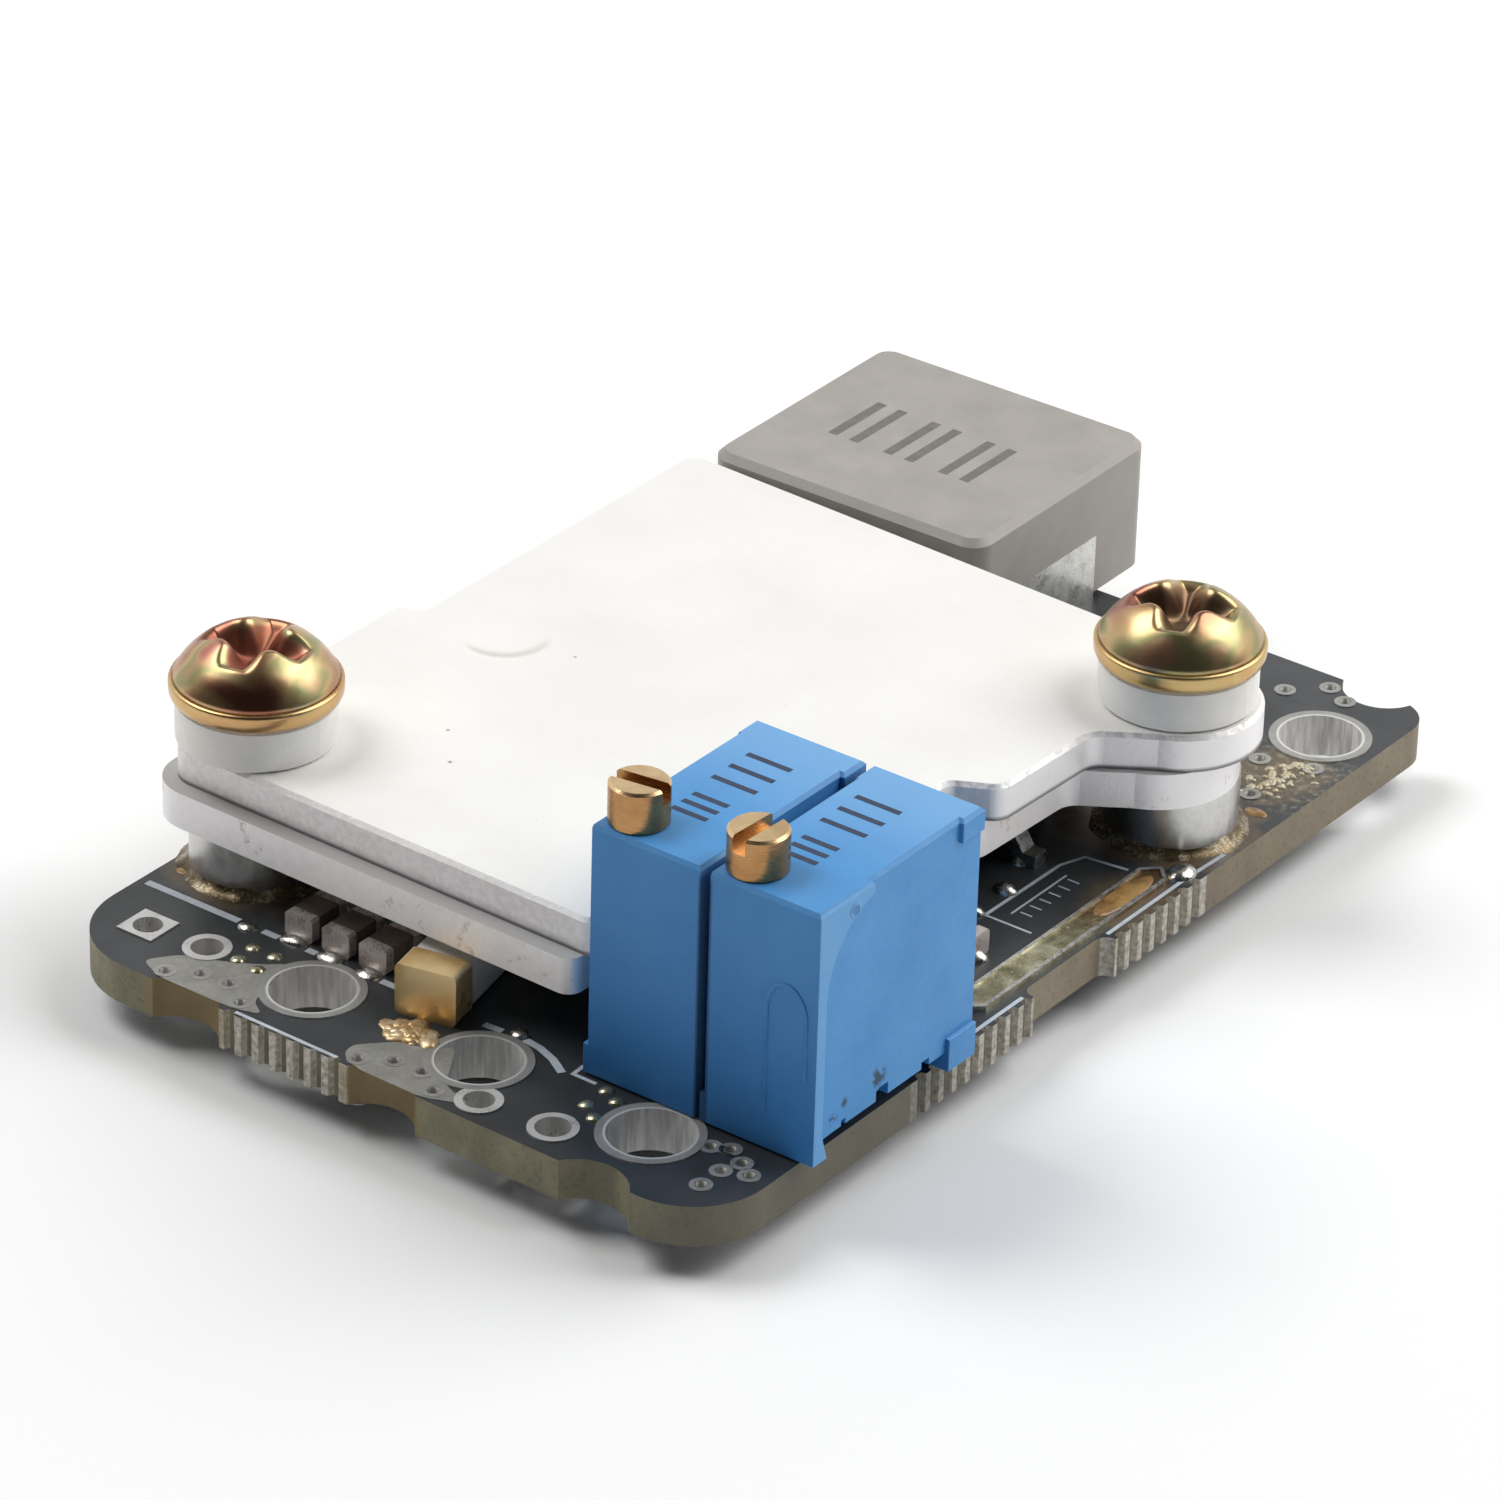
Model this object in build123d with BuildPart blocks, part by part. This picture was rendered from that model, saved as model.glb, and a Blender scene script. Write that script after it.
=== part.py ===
"""Battery charger module: a circuit board with two clamped heat spreader plates over its power
parts, two multi-turn trimmers, a moulded inductor, a fuse, and plated terminal holes.

Millimetres. The origin is the centre of the near-left terminal hole on the board's top face,
+X runs along the near short edge, +Y away along the long edges, +Z up out of the board.
"""
import math
import os
from build123d import *

os.makedirs("parts", exist_ok=True)

# Circuit board
terminal_pitch = 7.5
right_margin = 5.05
board_t = 1.6
board_left = -9.75
board_right = 2 * terminal_pitch + right_margin
board_far = 42.2
board_near = -2.87
near_edge_fall = 0.56
near_corner_r = (3.5, 3.0)
far_corner_r = 1.6
notch_r = 1.82
notch_depth = 0.87
near_notch_x = [-3.35, terminal_pitch - 1.85, 2 * terminal_pitch + 0.1]
far_notch_x = board_right - 2.6
far_notch_r = 1.6
far_notch_depth = 1.15
recess_y = (15.7, 20.8)
recess_depth = 0.55
flute_r = 0.25
flute_pitch = 0.8
near_flute_x = -1.3
near_flute_count = 7
right_flute_y = [8.9, 21.2]
right_flute_count = [9, 7]

# Plated holes
terminal_r = 1.575
terminal_ring_r = 1.95
ring_proud = 0.05
far_terminal_inset = (2.39, 4.30)
terminal_at = [(0, 0), (terminal_pitch, 0), (2 * terminal_pitch, 0),
               (board_right - far_terminal_inset[0], board_far - far_terminal_inset[1])]
square_pad = 1.6
wire_at = [(-7.37, -0.30), (-4.74, -0.14), (terminal_pitch + 1.60, -2.03), (2 * terminal_pitch - 2.84, -1.80)]
wire_r = [0.55, 0.60, 0.57, 0.65]
wire_ring_r = [0.0, 0.90, 0.87, 0.92]
via_r = 0.24
via_sides = 8
via_steps = [[(-4.87, -2.28), (-3.76, -1.64), (-2.55, -1.53), (-1.42, -2.27)],
             [(-3.35, -2.54), (-2.30, -1.86), (-1.09, -1.81), (-0.02, -2.53)],
             [(2.09, 0.64), (2.74, 0.92), (3.56, 0.45), (3.27, -0.36), (4.20, -0.01), (3.27, -1.48)],
             [(-0.84, -2.85), (1.12, -2.23), (0.33, -5.29), (-3.03, 2.20), (-1.79, 3.42), (-0.75, 2.86)]]
via_at = [(x + dx, y + dy) for (x, y), steps in zip(terminal_at, via_steps) for dx, dy in steps]

# Clamp stack: standoff, lower plate, upper plate, washer, screw
clamp_right_inset = 3.22
clamp_far_inset = 13.18
clamp_right_x = board_right - clamp_right_inset
clamp_right_y = board_far - clamp_far_inset
clamp_at = [(-7.19, 5.58), (clamp_right_x, clamp_right_y)]
standoff_r = 2.5
standoff_h = 2.45
thread_r = 1.5
plate_t = 1.45
plate_hole_r = 2.0
plate_shift = (0.25, 0.325)
plate_edge = 0.16
washer_r = 2.95
washer_bore_r = 1.65
washer_t = 1.7
washer_edge = 0.13
head_r = 3.17
head_band = 0.74
head_dome = 1.92
screw_length = 8.0
recess_wing = 1.0
recess_top_r = 2.2
recess_floor_r = 0.8
recess_deep = 1.85
recess_turn = (14.0, 23.0)

# Heat spreader outline, as the upper plate lies
plate_left = -9.5
plate_left_far = -8.5
plate_step_y = 16.6
plate_near = 3.17
plate_near_fall = 0.4
plate_far = clamp_right_y + 3.08
plate_far_rise = 1.05
plate_right_inset = 4.05
plate_right = board_right - plate_right_inset
plate_waist_y = clamp_right_y - 4.32
plate_right_y = plate_waist_y - 5.25
plate_mid_y = plate_right_y - 0.95
lobe_r = 3.2
near_left_r = (1.2, 1.8)

# Trimmers
trimmer_w = 4.86
trimmer_l = 9.53
trimmer_gap = 0.19
trimmer_overhang = 0.635
trimmer_near = 1.624
trimmer_right_x = board_right + trimmer_overhang - trimmer_w
trimmer_at = [(trimmer_right_x - trimmer_w - trimmer_gap, trimmer_near), (trimmer_right_x, trimmer_near)]
trimmer_top = 10.03
trimmer_relief = 0.18
trimmer_skirt = 0.09
trimmer_floor = 0.8
trimmer_rib = 0.5
trimmer_edge = 0.14
nick_y = [1.95, 4.2, 6.75]
nick_w = [0.25, 0.7, 0.45]
nick_h = [0.25, 0.5, 0.3]
nick_depth = 0.55
adjuster_inset = 1.27
adjuster_r = 1.095
adjuster_h = 1.6
adjuster_slot_w = 0.56
adjuster_slot_d = 0.62
adjuster_shank_r = 0.8
adjuster_shank = 4.0
running_gap = 0.05
slot_angles = [8.0, 87.0]
pin_r = 0.255
pin_pitch = 2.54
pin_end = -2.85
pin_hole_r = 0.375
pin_sides = 12

plate_bay_side_gap = 0.425
plate_bay_far_gap = 0.85
plate_bay_x = trimmer_at[0][0] - plate_bay_side_gap
plate_bay_y = trimmer_near + trimmer_l + plate_bay_far_gap
plate_bay_w = 3.7
plate_mid_x = plate_bay_x + plate_bay_w

# Inductor
inductor_size = (12.65, 11.7, 5.5)
inductor_at = (-1.53, board_far - 3.0)
inductor_turn = 0.6
inductor_lift = 0.12
inductor_corner_r = 0.9
inductor_edge = 0.28
tab_w = 4.6
tab_t = 0.25
tab_under = 2.4
tab_rise = 2.6

# Fuse
fuse_at = (terminal_pitch - 3.15, 0.9)
fuse_turn = 12.0
fuse_l = 6.1
fuse_w = 2.4
fuse_h = 2.05
fuse_cap_l = 1.3
fuse_cap_t = 0.12

# Bus strip
strip_w = 1.25
strip_inset = 0.8
strip_x = (board_right - strip_inset - strip_w, board_right - strip_inset)
strip_y = (13.3, clamp_right_y - 3.22)
strip_t = 0.2
strip_rim = 0.14
strip_dish = 0.07
strip_chamfer = 0.55

# Power transistors, thermal pads and other parts under the plates
fet_l = 6.1
fet_w = 6.6
fet_h = 2.25
fet_lead_pitch = 2.29
fet_lead_w = 0.75
fet_lead_t = 0.5
fet_lead_l = 1.6
fet_tab_w = 5.3
fet_tab_l = 1.1
fet_at = [(clamp_right_x - 6.53, clamp_right_y - 7.92, 0.0), (0.3, clamp_right_y - 2.72, 180.0)]
pad_margin = 0.4
ic_l = 9.9
ic_w = 3.9
ic_h = 1.6
ic_lift = 0.15
ic_pitch = 1.27
ic_lead_w = 0.42
ic_lead_t = 0.22
ic_reach = 1.05
ic_at = (0.6, 13.2)

# Chip parts: length, width, height, wrap of each end
small_chip = (2.0, 1.25, 1.0, 0.42)
large_chip = (3.2, 2.5, 2.0, 0.55)
sense_chip = (6.35, 3.2, 0.75, 0.9)
chip_wrap_t = 0.05

lower_z = standoff_h
upper_z = lower_z + plate_t
washer_z = upper_z + plate_t
head_z = washer_z + washer_t


def save(part, name):
    part.label = name
    export_step(part, f"parts/{name}.step")


# Circuit board
def near_edge_y(x):
    return board_near - near_edge_fall * (x - board_left) / (board_right - board_left)


def make_board():
    with BuildPart() as board:
        with BuildSketch(Plane.XY.offset(-board_t)) as outline:
            with BuildLine():
                Polyline((board_left, near_edge_y(board_left)), (board_right, near_edge_y(board_right)),
                         (board_right, board_far), (board_left, board_far), close=True)
            make_face()
            fillet(outline.vertices().sort_by(Axis.Y)[-2:], far_corner_r)
            for x, r in zip((board_left, board_right), near_corner_r):
                fillet(outline.vertices().sort_by_distance((x, near_edge_y(x), -board_t))[0], r)
            with Locations(*[(x, near_edge_y(x) - notch_r + notch_depth) for x in near_notch_x]):
                Circle(notch_r, mode=Mode.SUBTRACT)
            with Locations((far_notch_x, board_far + far_notch_r - far_notch_depth)):
                Circle(far_notch_r, mode=Mode.SUBTRACT)
            with Locations((board_right, (recess_y[0] + recess_y[1]) / 2)):
                RectangleRounded(2 * recess_depth, recess_y[1] - recess_y[0], recess_depth * 0.9,
                                 mode=Mode.SUBTRACT)
            near_x = [near_flute_x + i * flute_pitch for i in range(near_flute_count)]
            with Locations(*[(x, near_edge_y(x)) for x in near_x]):
                RegularPolygon(flute_r, 8, mode=Mode.SUBTRACT)
            for first, count in zip(right_flute_y, right_flute_count):
                with Locations(*[(board_right, first + i * flute_pitch) for i in range(count)]):
                    RegularPolygon(flute_r, 8, mode=Mode.SUBTRACT)
            with Locations(*terminal_at):
                Circle(terminal_ring_r, mode=Mode.SUBTRACT)
            for at, ring_r in zip(wire_at, wire_ring_r):
                with Locations(at):
                    if ring_r:
                        Circle(ring_r, mode=Mode.SUBTRACT)
                    else:
                        Rectangle(square_pad, square_pad, mode=Mode.SUBTRACT)
            with Locations(*via_at):
                RegularPolygon(via_r, via_sides, mode=Mode.SUBTRACT)
            with Locations(*clamp_at):
                Circle(thread_r + 0.2, mode=Mode.SUBTRACT)
            for x, y in trimmer_at:
                with Locations(*pin_places(x, y)):
                    RegularPolygon(pin_hole_r, pin_sides, mode=Mode.SUBTRACT)
        extrude(amount=board_t)
    return board.part


def pin_places(x, y):
    middle = (x + trimmer_w / 2, y + trimmer_l / 2)
    return [(middle[0], middle[1] + i * pin_pitch) for i in (-1, 0, 1)]


# Plated holes: a ring through the board, a little proud of both faces
def make_plated_hole(x, y, hole_r, ring_r):
    with BuildPart() as ring:
        with BuildSketch(Plane.XY.offset(-board_t - ring_proud)):
            with Locations((x, y)):
                if ring_r:
                    Circle(ring_r)
                else:
                    Rectangle(square_pad, square_pad)
                Circle(hole_r, mode=Mode.SUBTRACT)
            with Locations(*[at for at in terminal_at if at != (x, y)]):
                Circle(terminal_ring_r, mode=Mode.SUBTRACT)
        extrude(amount=board_t + 2 * ring_proud)
    return ring.part


# Clamp stack
def make_standoff(x, y):
    with BuildPart() as standoff:
        with BuildSketch():
            with Locations((x, y)):
                Circle(standoff_r)
                Circle(thread_r, mode=Mode.SUBTRACT)
        extrude(amount=standoff_h)
    return standoff.part


def make_plate(z, dx, dy, near_left, edge):
    sx, sy = clamp_at[1]
    right_near = plate_near - plate_near_fall
    with BuildPart() as plate:
        with BuildSketch(Plane.XY.offset(z)) as outline:
            with BuildLine():
                Polyline((plate_left, plate_near), (plate_bay_x, right_near), (plate_bay_x, plate_bay_y),
                         (plate_mid_x, plate_bay_y), (plate_mid_x, plate_mid_y),
                         (plate_right - 0.2, plate_right_y), (plate_right, plate_waist_y),
                         (sx + 1.3, sy - 2.9), (sx, sy), (sx, plate_far),
                         (plate_left_far, plate_far + plate_far_rise), (plate_left_far, plate_step_y),
                         (plate_left, plate_step_y - 0.2), close=True)
            make_face()
            with Locations((sx, sy)):
                Circle(lobe_r)
            corners = [((plate_left, plate_near), near_left), ((plate_bay_x, right_near), 0.6),
                       ((plate_bay_x, plate_bay_y), 0.8), ((plate_mid_x, plate_bay_y), 0.8),
                       ((plate_mid_x, plate_mid_y), 0.5), ((plate_right - 0.2, plate_right_y), 0.8),
                       ((plate_right, plate_waist_y), 0.9), ((plate_left_far, plate_far + plate_far_rise), 0.9),
                       ((plate_left_far, plate_step_y), 0.5), ((plate_left, plate_step_y - 0.2), 0.4)]
            for (cx, cy), r in corners:
                fillet(outline.vertices().sort_by_distance((cx, cy, z))[0], r)
            with Locations(*[(x + plate_shift[0], y + plate_shift[1]) for x, y in clamp_at]):
                Circle(plate_hole_r, mode=Mode.SUBTRACT)
        extrude(amount=plate_t)
        if edge:
            chamfer(plate.faces().sort_by(Axis.Z)[-1].outer_wire().edges(), edge)
    return plate.part.moved(Location((dx, dy, 0)))


def make_washer(x, y):
    with BuildPart() as washer:
        with BuildSketch(Plane.XY.offset(washer_z)):
            with Locations((x, y)):
                Circle(washer_r)
        extrude(amount=washer_t)
        chamfer(washer.edges(), washer_edge)
        with BuildSketch(Plane.XY.offset(washer_z)):
            with Locations((x, y)):
                Circle(washer_bore_r)
        extrude(amount=washer_t, mode=Mode.SUBTRACT)
    return washer.part


# The cross recess: a cross of two wings, cut off by a cone that narrows downwards
def make_recess():
    with BuildPart() as recess:
        with BuildSketch(Plane.XY.offset(head_z + head_band + head_dome - recess_deep)):
            Rectangle(2 * recess_top_r, recess_wing)
            Rectangle(recess_wing, 2 * recess_top_r)
        extrude(amount=recess_deep + 0.5)
        top_r = recess_top_r + 0.5 * (recess_top_r - recess_floor_r) / recess_deep
        with Locations((0, 0, head_z + head_band + head_dome + 0.25 - recess_deep / 2)):
            Cone(recess_floor_r, top_r, recess_deep + 0.5, mode=Mode.INTERSECT)
    return recess.part


def make_clamp_screw(x, y, turn):
    recess = make_recess().moved(Location((0, 0, 0), (0, 0, turn)))
    rim_z = head_z + head_band
    crown_z = rim_z + head_dome
    dome_r = head_r - 0.1
    sag_r = (dome_r ** 2 + head_dome ** 2) / (2 * head_dome)
    half = math.asin(dome_r / sag_r) / 2
    mid = (sag_r * math.sin(half), crown_z - sag_r * (1 - math.cos(half)))
    with BuildPart() as screw:
        with BuildSketch(Plane.XZ):
            with BuildLine():
                Polyline((0, crown_z), (0, head_z - screw_length), (thread_r - 0.35, head_z - screw_length),
                         (thread_r, head_z - screw_length + 0.35), (thread_r, head_z),
                         (head_r - 0.15, head_z), (head_r, head_z + 0.15), (head_r, rim_z - 0.05),
                         (dome_r, rim_z))
                ThreePointArc((dome_r, rim_z), mid, (0, crown_z))
            make_face()
        revolve(axis=Axis.Z)
        add(recess, mode=Mode.SUBTRACT)
    return screw.part.moved(Location((x, y, 0)))


# Trimmers: a relieved core between end ribs and corner nubs
def make_trimmer(x, y):
    adjuster = (x + adjuster_inset, y + adjuster_inset)
    with BuildPart() as housing:
        with BuildSketch(Plane.XY.offset(trimmer_floor)):
            with Locations((x + trimmer_w / 2, y + trimmer_l / 2)):
                Rectangle(trimmer_w - 2 * trimmer_relief, trimmer_l)
        extrude(amount=trimmer_top - trimmer_floor)
        with BuildSketch(Plane.YZ.offset(x)):
            with BuildLine():
                Line((y, trimmer_skirt), (y + 0.8, trimmer_skirt))
                Line((y + 0.8, trimmer_skirt), (y + trimmer_rib, 1.1))
                Line((y + trimmer_rib, 1.1), (y + trimmer_rib, trimmer_top - 3.6))
                ThreePointArc((y + trimmer_rib, trimmer_top - 3.6), (y + 1.1, trimmer_top - 1.8),
                              (y + 3.1, trimmer_top - 0.45))
                Line((y + 3.1, trimmer_top - 0.45), (y + 3.1, trimmer_top))
                Line((y + 3.1, trimmer_top), (y, trimmer_top))
                Line((y, trimmer_top), (y, trimmer_skirt))
            make_face()
            with Locations((y + trimmer_l - 0.65, trimmer_top - 0.45)):
                Rectangle(1.3, 0.9)
            with Locations((y + trimmer_l - 0.8, trimmer_skirt + 0.65)):
                Rectangle(1.6, 1.3)
        extrude(amount=trimmer_w)
        with BuildSketch(Plane.XY.offset(trimmer_skirt)):
            with Locations((x + trimmer_w / 2, y + 0.35), (x + trimmer_w / 2, y + trimmer_l - 0.4)):
                Rectangle(trimmer_w - 2 * trimmer_relief, 0.7)
        extrude(amount=trimmer_floor - trimmer_skirt)
        chamfer(housing.faces().sort_by(Axis.Z)[-1].outer_wire().edges(), trimmer_edge)
        for face_x, inwards in ((x, nick_depth), (x + trimmer_w, -nick_depth)):
            with BuildSketch(Plane.YZ.offset(face_x)):
                for at, w, h in zip(nick_y, nick_w, nick_h):
                    with Locations((y + at, trimmer_floor)):
                        Rectangle(w, 2 * h)
            extrude(amount=inwards, mode=Mode.SUBTRACT)
        with BuildSketch(Plane.XY.offset(trimmer_top)):
            with Locations(adjuster):
                Circle(adjuster_shank_r + running_gap)
        extrude(amount=-adjuster_shank - running_gap, mode=Mode.SUBTRACT)
        for px, py in pin_places(x, y):
            with BuildSketch(Plane.XY.offset(trimmer_floor)):
                with Locations((px, py)):
                    RegularPolygon(pin_r, pin_sides)
            extrude(amount=1.2, mode=Mode.SUBTRACT)
    return housing.part


def make_adjuster(x, y, turn):
    with BuildPart() as adjuster:
        with BuildSketch(Plane.XY.offset(trimmer_top + running_gap)):
            Circle(adjuster_r)
        extrude(amount=adjuster_h - running_gap)
        chamfer(adjuster.edges().sort_by(Axis.Z)[-1], 0.1)
        with BuildSketch(Plane.XY.offset(trimmer_top + adjuster_h)):
            Rectangle(2 * adjuster_r + 0.2, adjuster_slot_w)
        extrude(amount=-adjuster_slot_d, mode=Mode.SUBTRACT)
        with BuildSketch(Plane.XY.offset(trimmer_top - adjuster_shank)):
            Circle(adjuster_shank_r)
        extrude(amount=adjuster_shank + running_gap)
    return adjuster.part.moved(Location((x + adjuster_inset, y + adjuster_inset, 0), (0, 0, turn)))


def make_pins(x, y):
    with BuildPart() as pins:
        with BuildSketch(Plane.XY.offset(pin_end)):
            with Locations(*pin_places(x, y)):
                RegularPolygon(pin_r, pin_sides)
        extrude(amount=trimmer_floor + 1.2 - pin_end)
    return pins.part


# Inductor: moulded block on two wrapped terminals
def inductor_place():
    return Location((inductor_at[0], inductor_at[1], 0), (0, 0, inductor_turn))


def make_inductor():
    with BuildPart() as body:
        with BuildSketch(Plane.XY.offset(inductor_lift)):
            RectangleRounded(inductor_size[0], inductor_size[1], inductor_corner_r)
        extrude(amount=inductor_size[2])
        chamfer(body.faces().sort_by(Axis.Z)[-1].edges(), inductor_edge)
        chamfer(body.faces().sort_by(Axis.Z)[0].edges(), tab_t / 2)
        for side in (-1, 1):
            with BuildSketch(Plane.XY.offset(inductor_lift)):
                with Locations((side * (inductor_size[0] / 2 - tab_t / 2), 0)):
                    Rectangle(tab_t, tab_w)
            extrude(amount=tab_rise, mode=Mode.SUBTRACT)
    return body.part.moved(inductor_place())


def make_inductor_terminal(side):
    outer = side * inductor_size[0] / 2
    with BuildPart() as tab:
        with BuildSketch(Plane.XZ.offset(-tab_w / 2)):
            with BuildLine():
                Polyline((outer, 0), (outer - side * tab_under, 0), (outer - side * tab_under, inductor_lift),
                         (outer - side * tab_t, inductor_lift), (outer - side * tab_t, inductor_lift + tab_rise),
                         (outer, inductor_lift + tab_rise), close=True)
            make_face()
        extrude(amount=tab_w)
    return tab.part.moved(inductor_place())


# Fuse: white ceramic body between two metal caps
def fuse_place():
    return Location((fuse_at[0], fuse_at[1], 0), (0, 0, fuse_turn))


def make_fuse_body():
    with BuildPart() as body:
        with Locations((0, fuse_l / 2, fuse_h / 2)):
            Box(fuse_w - 2 * fuse_cap_t, fuse_l - 2 * fuse_cap_t, fuse_h - 2 * fuse_cap_t)
    return body.part.moved(fuse_place())


def make_fuse_caps():
    with BuildPart() as caps:
        with Locations((0, fuse_cap_l / 2, fuse_h / 2), (0, fuse_l - fuse_cap_l / 2, fuse_h / 2)):
            Box(fuse_w, fuse_cap_l, fuse_h)
        fillet(caps.edges().filter_by(Axis.Y), 0.22)
        add(make_fuse_body().moved(fuse_place().inverse()), mode=Mode.SUBTRACT)
    return caps.part.moved(fuse_place())


# Bus strip: a flat bar with its corners cut and a shallow dish between two rims
def make_strip():
    with BuildPart() as strip:
        with BuildSketch() as outline:
            with Locations(((strip_x[0] + strip_x[1]) / 2, (strip_y[0] + strip_y[1]) / 2)):
                Rectangle(strip_x[1] - strip_x[0], strip_y[1] - strip_y[0])
            chamfer(outline.vertices(), strip_chamfer)
        extrude(amount=strip_t)
        with BuildSketch(Plane.XY.offset(strip_t)):
            add(outline.sketch)
            offset(amount=-strip_rim, mode=Mode.REPLACE)
        extrude(amount=-strip_dish, mode=Mode.SUBTRACT)
    return strip.part


# Power transistor: moulded body, tab and two leads, the leads towards +X before turning
def fet_place(x, y, turn):
    return Location((x, y, 0), (0, 0, turn))


def make_fet_body(x, y, turn):
    with BuildPart() as body:
        with BuildSketch(Plane.XY.offset(0.5)):
            Rectangle(fet_l, fet_w)
        extrude(amount=fet_h - 0.5)
        chamfer(body.faces().sort_by(Axis.Z)[-1].edges(), 0.25)
        with BuildSketch(Plane.XY):
            Rectangle(fet_l - 1.0, fet_w - 0.8)
        extrude(amount=0.5)
        add(make_fet_tab(), mode=Mode.SUBTRACT)
    return body.part.moved(fet_place(x, y, turn))


def make_fet_tab():
    with BuildPart() as tab:
        with BuildSketch():
            with Locations((-fet_l / 2 + 1.2 - fet_tab_l / 2, 0)):
                Rectangle(fet_tab_l + 2.4, fet_tab_w)
        extrude(amount=fet_lead_t)
    return tab.part


def make_fet_leads(x, y, turn):
    start = fet_l / 2
    with BuildPart() as leads:
        add(make_fet_tab())
        for side in (-1, 1):
            with BuildSketch(Plane.XZ.offset(-side * fet_lead_pitch - fet_lead_w / 2)):
                with BuildLine():
                    Polyline((start, 0.75), (start, 0.75 + fet_lead_t), (start + 0.55, 0.75 + fet_lead_t),
                             (start + 1.05, fet_lead_t), (start + fet_lead_l, fet_lead_t),
                             (start + fet_lead_l, 0), (start + 0.75, 0), (start + 0.3, 0.75), close=True)
                make_face()
            extrude(amount=fet_lead_w)
    return leads.part.moved(fet_place(x, y, turn))


def make_thermal_pad(x, y, turn):
    with BuildPart() as pad:
        with BuildSketch(Plane.XY.offset(fet_h)):
            RectangleRounded(fet_l + 2 * pad_margin, fet_w + 2 * pad_margin, 0.5)
        extrude(amount=lower_z - fet_h)
    return pad.part.moved(fet_place(x, y, turn))


# Controller circuit: moulded body and two rows of bent leads
def make_ic_body():
    with BuildPart() as body:
        with BuildSketch(Plane.XY.offset(ic_lift)):
            with Locations(ic_at):
                Rectangle(ic_l, ic_w)
        extrude(amount=ic_h)
        chamfer(body.faces().sort_by(Axis.Z)[-1].edges(), 0.2)
        chamfer(body.faces().sort_by(Axis.Z)[0].edges(), 0.12)
    return body.part


def make_ic_leads():
    shoulder = 0.75
    with BuildPart() as leads:
        for side in (-1, 1):
            start = ic_at[1] + side * ic_w / 2
            for i in range(8):
                lead_x = ic_at[0] + (i - 3.5) * ic_pitch
                with BuildSketch(Plane.YZ.offset(lead_x - ic_lead_w / 2)):
                    with BuildLine():
                        Polyline((start, shoulder), (start, shoulder + ic_lead_t),
                                 (start + side * 0.35, shoulder + ic_lead_t),
                                 (start + side * 0.6, ic_lead_t), (start + side * ic_reach, ic_lead_t),
                                 (start + side * ic_reach, 0), (start + side * 0.42, 0),
                                 (start + side * 0.2, shoulder), close=True)
                    make_face()
                extrude(amount=ic_lead_w)
    return leads.part


# Chip parts: a block between two wrapped ends
def make_chip_body(size, x, y, turn):
    length, width, height, wrap = size
    with BuildPart() as body:
        with Locations((0, 0, height / 2)):
            Box(length - 2 * wrap, width - 2 * chip_wrap_t, height - 2 * chip_wrap_t)
    return body.part.moved(Location((x, y, 0), (0, 0, turn)))


def make_chip_ends(size, x, y, turn):
    length, width, height, wrap = size
    with BuildPart() as ends:
        with Locations((-(length - wrap) / 2, 0, height / 2), ((length - wrap) / 2, 0, height / 2)):
            Box(wrap, width, height)
        chamfer(ends.edges().filter_by(Axis.X), 0.1)
    return ends.part.moved(Location((x, y, 0), (0, 0, turn)))


save(make_board(), "circuit_board")
for n, (x, y) in enumerate(terminal_at, 1):
    save(make_plated_hole(x, y, terminal_r, terminal_ring_r), f"terminal_ring_{n}")
for n, ((x, y), r, ring_r) in enumerate(zip(wire_at, wire_r, wire_ring_r), 1):
    save(make_plated_hole(x, y, r, ring_r), f"wire_hole_{n}")

for side, (x, y), turn in zip(("left", "right"), clamp_at, recess_turn):
    save(make_standoff(x, y), f"standoff_{side}")
    save(make_washer(x, y), f"insulating_washer_{side}")
    save(make_clamp_screw(x, y, turn), f"clamp_screw_{side}")
save(make_plate(lower_z, -2 * plate_shift[0], -2 * plate_shift[1], near_left_r[1], 0), "lower_heat_spreader")
save(make_plate(upper_z, 0, 0, near_left_r[0], plate_edge), "upper_heat_spreader")

for n, ((x, y), turn) in enumerate(zip(trimmer_at, slot_angles), 1):
    save(make_trimmer(x, y), f"trimmer_housing_{n}")
    save(make_adjuster(x, y, turn), f"adjusting_screw_{n}")
    save(make_pins(x, y), f"trimmer_pins_{n}")

save(make_inductor(), "inductor_body")
save(make_inductor_terminal(-1), "inductor_terminal_left")
save(make_inductor_terminal(1), "inductor_terminal_right")
save(make_fuse_body(), "fuse_body")
save(make_fuse_caps(), "fuse_caps")
save(make_strip(), "bus_strip")

for n, place in enumerate(fet_at, 1):
    save(make_fet_body(*place), f"transistor_body_{n}")
    save(make_fet_leads(*place), f"transistor_leads_{n}")
    save(make_thermal_pad(*place), f"thermal_pad_{n}")
save(make_ic_body(), "controller_body")
save(make_ic_leads(), "controller_leads")

chips = {"chip_1": (small_chip, -2.6, 3.35, 90.0), "chip_2": (small_chip, -0.9, 3.35, 90.0),
         "chip_3": (small_chip, 0.8, 3.35, 90.0), "chip_4": (small_chip, plate_right, 16.6, 0.0),
         "sense_resistor": (sense_chip, -5.9, 13.4, 90.0),
         "output_capacitor_1": (large_chip, clamp_right_x - 8.63, clamp_right_y - 0.42, 90.0),
         "output_capacitor_2": (large_chip, clamp_right_x - 5.43, clamp_right_y - 0.42, 90.0)}
for name, chip in chips.items():
    save(make_chip_body(*chip), f"{name}_body")
    save(make_chip_ends(*chip), f"{name}_ends")
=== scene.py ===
import math
import random
from fnmatch import fnmatch

import bmesh
import bpy
from mathutils import Matrix, Vector


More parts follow.
